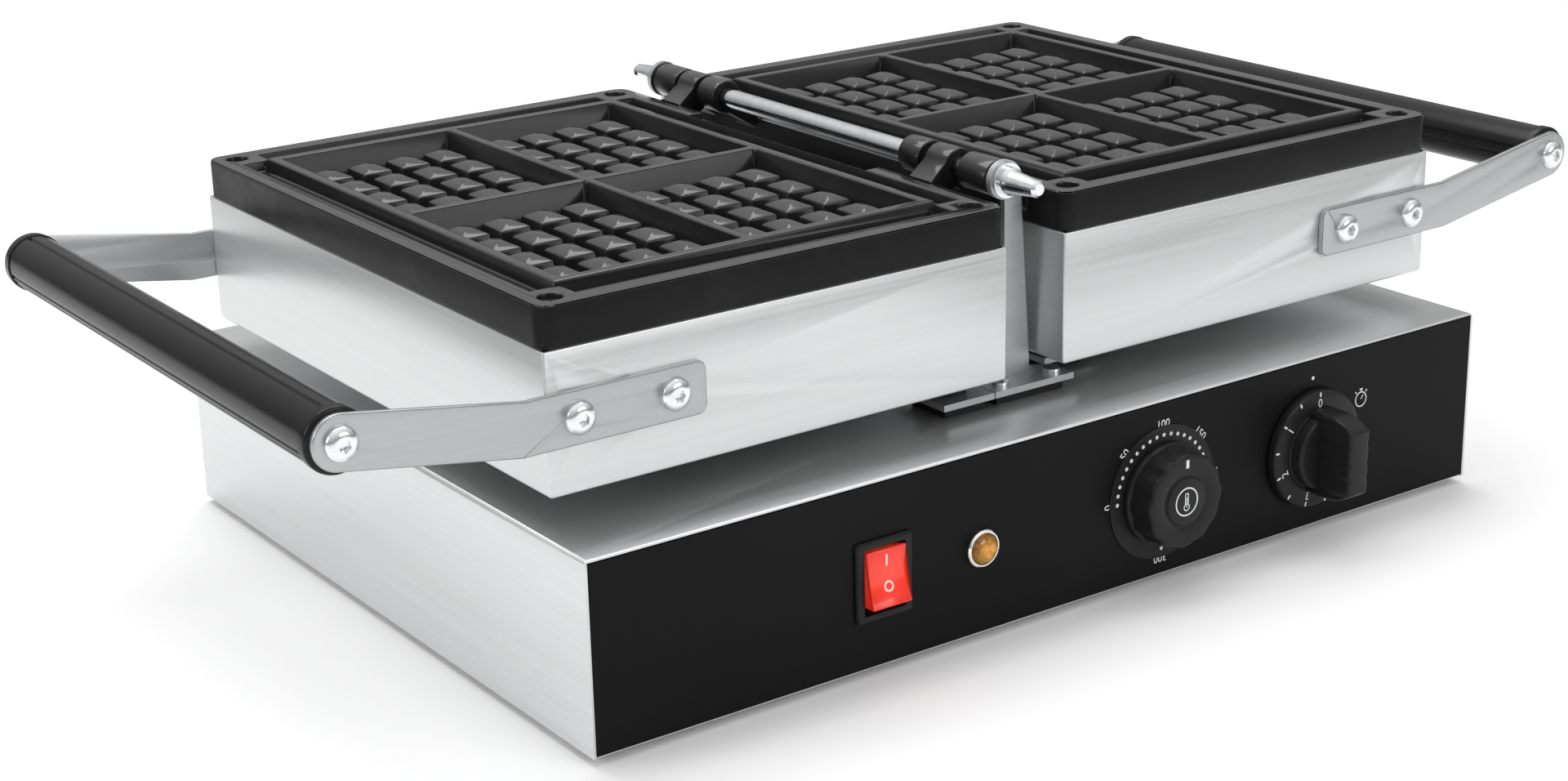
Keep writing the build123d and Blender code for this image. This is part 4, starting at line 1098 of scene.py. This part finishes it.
class WAFFLE_OT_timer(bpy.types.Operator):
    """Timer knob: numbered skirt and a ribbed bar grip"""

    bl_idname = "waffle.timer"
    bl_label = "Timer"

    def execute(self, context):
        centre = timer_place
        low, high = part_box("timer_knob")
        back = high.y
        front = low.y
        radius = (high.x - low.x) / 2
        skirt = 3.5 * MM
        rim = radius / MM
        profile = [(4.0, 0.0), (rim, 0.0), (rim, 1.4), (rim - 0.3, 2.7), (rim - 0.8, 3.2)]
        profile.append((rim - 1.4, 3.5))
        profile += [(16.2, 3.5), (15.8, 3.9), (15.4, 8.0), (14.8, 8.6), (13.6, 8.9), (0.4, 8.9)]
        loops = [round_loop(centre, reach * MM, back - rise * MM, 128) for reach, rise in profile]
        base = loft("timer_skirt", loops)

        # the bar is built up along Z, so that its ribs run across it
        half_length = 17.6 * MM
        full = back - 2 * MM - front
        bars = []
        steps = 72
        for step in range(steps + 1):
            share = -1 + 2 * step / steps
            z = centre.z + half_length * share
            rib = 0.5 + 0.5 * math.cos(math.pi * 2 * (share * 2.5 + 0.5))
            slim = 0.55 * MM * (1 - rib) ** 4
            edge = max(0.0, abs(share) - 0.72) / 0.28
            depth = full * (1 - 0.42 * edge**1.6)
            width = 5.9 * MM - slim - 0.5 * MM * edge**2
            end = min(1.0, (1 - abs(share)) * 14)
            width *= 0.82 + 0.18 * math.sqrt(end)
            corner = 1.3 * MM
            outline = rounded_rectangle(width, depth / 2, corner, 4)
            middle_y = back - 2 * MM - depth / 2
            bars.append([(centre.x + u * (1 - 0.07 * (v < 0)), middle_y + v, z) for u, v in outline])
        bar = loft("timer_bar", bars)
        mesh = join("timer_bar_knob", [base, bar])
        knob = add_piece("timer_bar_knob", mesh, "timer_knob", "knob", 32)
        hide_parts("timer_knob")

        # minutes run against the clock, so that winding the knob brings them to the dot
        face = Vector((centre.x, back - skirt - 0.02 * MM, centre.z))
        ticks = [marks("timer_ticks", 11, 23.0 * MM, 90, 27.5, 0.9 * MM, 2.2 * MM, face)]
        digit = context.scene.waffle_sizes.digit
        for minute in range(6):
            angle = math.radians(90 + 55 * minute)
            reach = 19.3 * MM
            place = face + Vector((reach * math.cos(angle), -0.02 * MM, reach * math.sin(angle)))
            words = str(minute)
            ticks.append(flat_text(f"minutes_{words}", words, digit * 1.1, place, angle - math.pi / 2))
        print_piece("timer_scale", ticks, "timer_knob")

        # index dot and a stopwatch sign on the panel
        y = panel_y - 0.02 * MM
        x, z = centre.x + 28.2 * MM, centre.z + 13.8 * MM
        watch = Vector((x, 0, z))
        index = Vector((centre.x, y, centre.z + 28.8 * MM))
        signs = [
            marks("timer_index", 1, 0.0, 0, 0, 1.6 * MM, 1.6 * MM, index),
            ring_mesh("watch_case", watch, 3.3 * MM, 2.8 * MM, y, 40),
        ]
        for name, x_from, z_from, x_to, z_to, width in (
            ("watch_hand", 0.0, 0.0, 1.3, 1.7, 0.45),
            ("watch_crown", -0.9, 4.3, 0.9, 4.3, 0.7),
            ("watch_neck", 0.0, 3.2, 0.0, 4.2, 0.6),
            ("watch_button", 2.6, 2.9, 3.3, 3.6, 0.6),
            ("watch_catch", -2.6, 2.9, -3.3, 3.6, 0.6),
        ):
            start = (x + x_from * MM, z + z_from * MM)
            end = (x + x_to * MM, z + z_to * MM)
            signs.append(bar_mesh(name, start, end, width * MM, y))
        print_piece("timer_signs", signs, "base")
        return {"FINISHED"}


def soft_room():
    """A pale room: bright overhead and dimmer at eye height, and plain white behind the object."""
    world = bpy.data.worlds.new("soft_room")
    world.use_nodes = True
    tree = world.node_tree
    background = tree.nodes["Background"]
    direction = tree.nodes.new("ShaderNodeTexCoord")
    parts = tree.nodes.new("ShaderNodeSeparateXYZ")
    tree.links.new(direction.outputs["Generated"], parts.inputs[0])
    lift = (Value(tree, parts.outputs[2]) * 0.9 + 0.22).clamped()
    ray = tree.nodes.new("ShaderNodeLightPath")
    seen = Value(tree, ray.outputs["Is Camera Ray"])
    strength = seen * 0.96 + (1.0 - seen) * lift
    tree.links.new(strength.socket, background.inputs[1])
    background.inputs[0].default_value = (1.0, 1.0, 1.0, 1.0)
    return world


class WAFFLE_OT_stage(bpy.types.Operator):
    """Pale floor, soft lamps and the camera"""

    bl_idname = "waffle.stage"
    bl_label = "Stage"

    def execute(self, context):
        scene = context.scene
        floor = bpy.data.meshes.new("floor")
        floor.from_pydata([(-6, -6, 0), (6, -6, 0), (6, 6, 0), (-6, 6, 0)], [], [(0, 1, 2, 3)])
        piece = bpy.data.objects.new("floor", floor)
        scene.collection.objects.link(piece)
        ground = Finish("pale_floor", specular_ior_level=0.2)
        ground.set("Base Color", (0.93, 0.93, 0.93, 1.0))
        ground.set("Roughness", 0.75)
        floor.materials.append(ground.material)

        scene.world = soft_room()
        scene.view_settings.view_transform = "Standard"

        lamps = (
            ("top_box", (0.1, 0.45, 1.5), (0, 0.0, 0.1), 1.6, 0.9, 14.0),
            ("front_box", (0.55, -1.8, 0.9), (0, 0, 0.06), 1.0, 0.6, 7.0),
            ("left_box", (-1.8, 0.3, 0.8), (0, 0, 0.08), 1.0, 0.7, 8.0),
        )
        for name, place, target, width, height, power in lamps:
            light = bpy.data.lights.new(name, "AREA")
            light.shape = "RECTANGLE"
            light.size = width
            light.size_y = height
            light.energy = power
            lamp = bpy.data.objects.new(name, light)
            lamp.location = place
            lamp.rotation_euler = (Vector(target) - Vector(place)).to_track_quat("-Z", "Y").to_euler()
            scene.collection.objects.link(lamp)

        optics = bpy.data.cameras.new("camera")
        optics.lens = 61.39
        optics.sensor_width = 36.0
        optics.clip_start = 0.01
        camera = bpy.data.objects.new("camera", optics)
        heading, drop, roll = math.radians(34.96), math.radians(18.93), math.radians(-1.37)
        aim = Euler((math.pi / 2 - drop, 0, -heading)).to_matrix() @ Matrix.Rotation(roll, 3, "Z")
        camera.matrix_world = Matrix.Translation((-0.6279, -0.8569, 0.4127)) @ aim.to_4x4()
        scene.collection.objects.link(camera)
        scene.camera = camera
        return {"FINISHED"}


class WAFFLE_PT_panel(bpy.types.Panel):
    """Lists the steps of the waffle maker"""

    bl_idname = "WAFFLE_PT_panel"
    bl_label = "Waffle Maker"
    bl_space_type = "VIEW_3D"
    bl_region_type = "UI"
    bl_category = "Waffle Maker"

    def draw(self, context):
        layout = self.layout
        for group in (context.scene.waffle_finishes, context.scene.waffle_sizes):
            column = layout.column()
            for key in group.__annotations__:
                column.prop(group, key)
        for operator in operators:
            layout.operator(operator.bl_idname)


operators = (
    WAFFLE_OT_finishes,
    WAFFLE_OT_steelwork,
    WAFFLE_OT_plates,
    WAFFLE_OT_grips,
    WAFFLE_OT_fasteners,
    WAFFLE_OT_switch,
    WAFFLE_OT_thermostat,
    WAFFLE_OT_timer,
    WAFFLE_OT_stage,
)
classes = (WaffleMakerFinishes, WaffleMakerSizes, *operators, WAFFLE_PT_panel)


def register():
    for item in classes:
        bpy.utils.register_class(item)
    bpy.types.Scene.waffle_finishes = bpy.props.PointerProperty(type=WaffleMakerFinishes)
    bpy.types.Scene.waffle_sizes = bpy.props.PointerProperty(type=WaffleMakerSizes)


def unregister():
    del bpy.types.Scene.waffle_sizes
    del bpy.types.Scene.waffle_finishes
    for item in reversed(classes):
        bpy.utils.unregister_class(item)


def main():
    register()
    for operator in operators:
        group, name = operator.bl_idname.split(".")
        getattr(getattr(bpy.ops, group), name)()


if __name__ == "__main__":
    main()
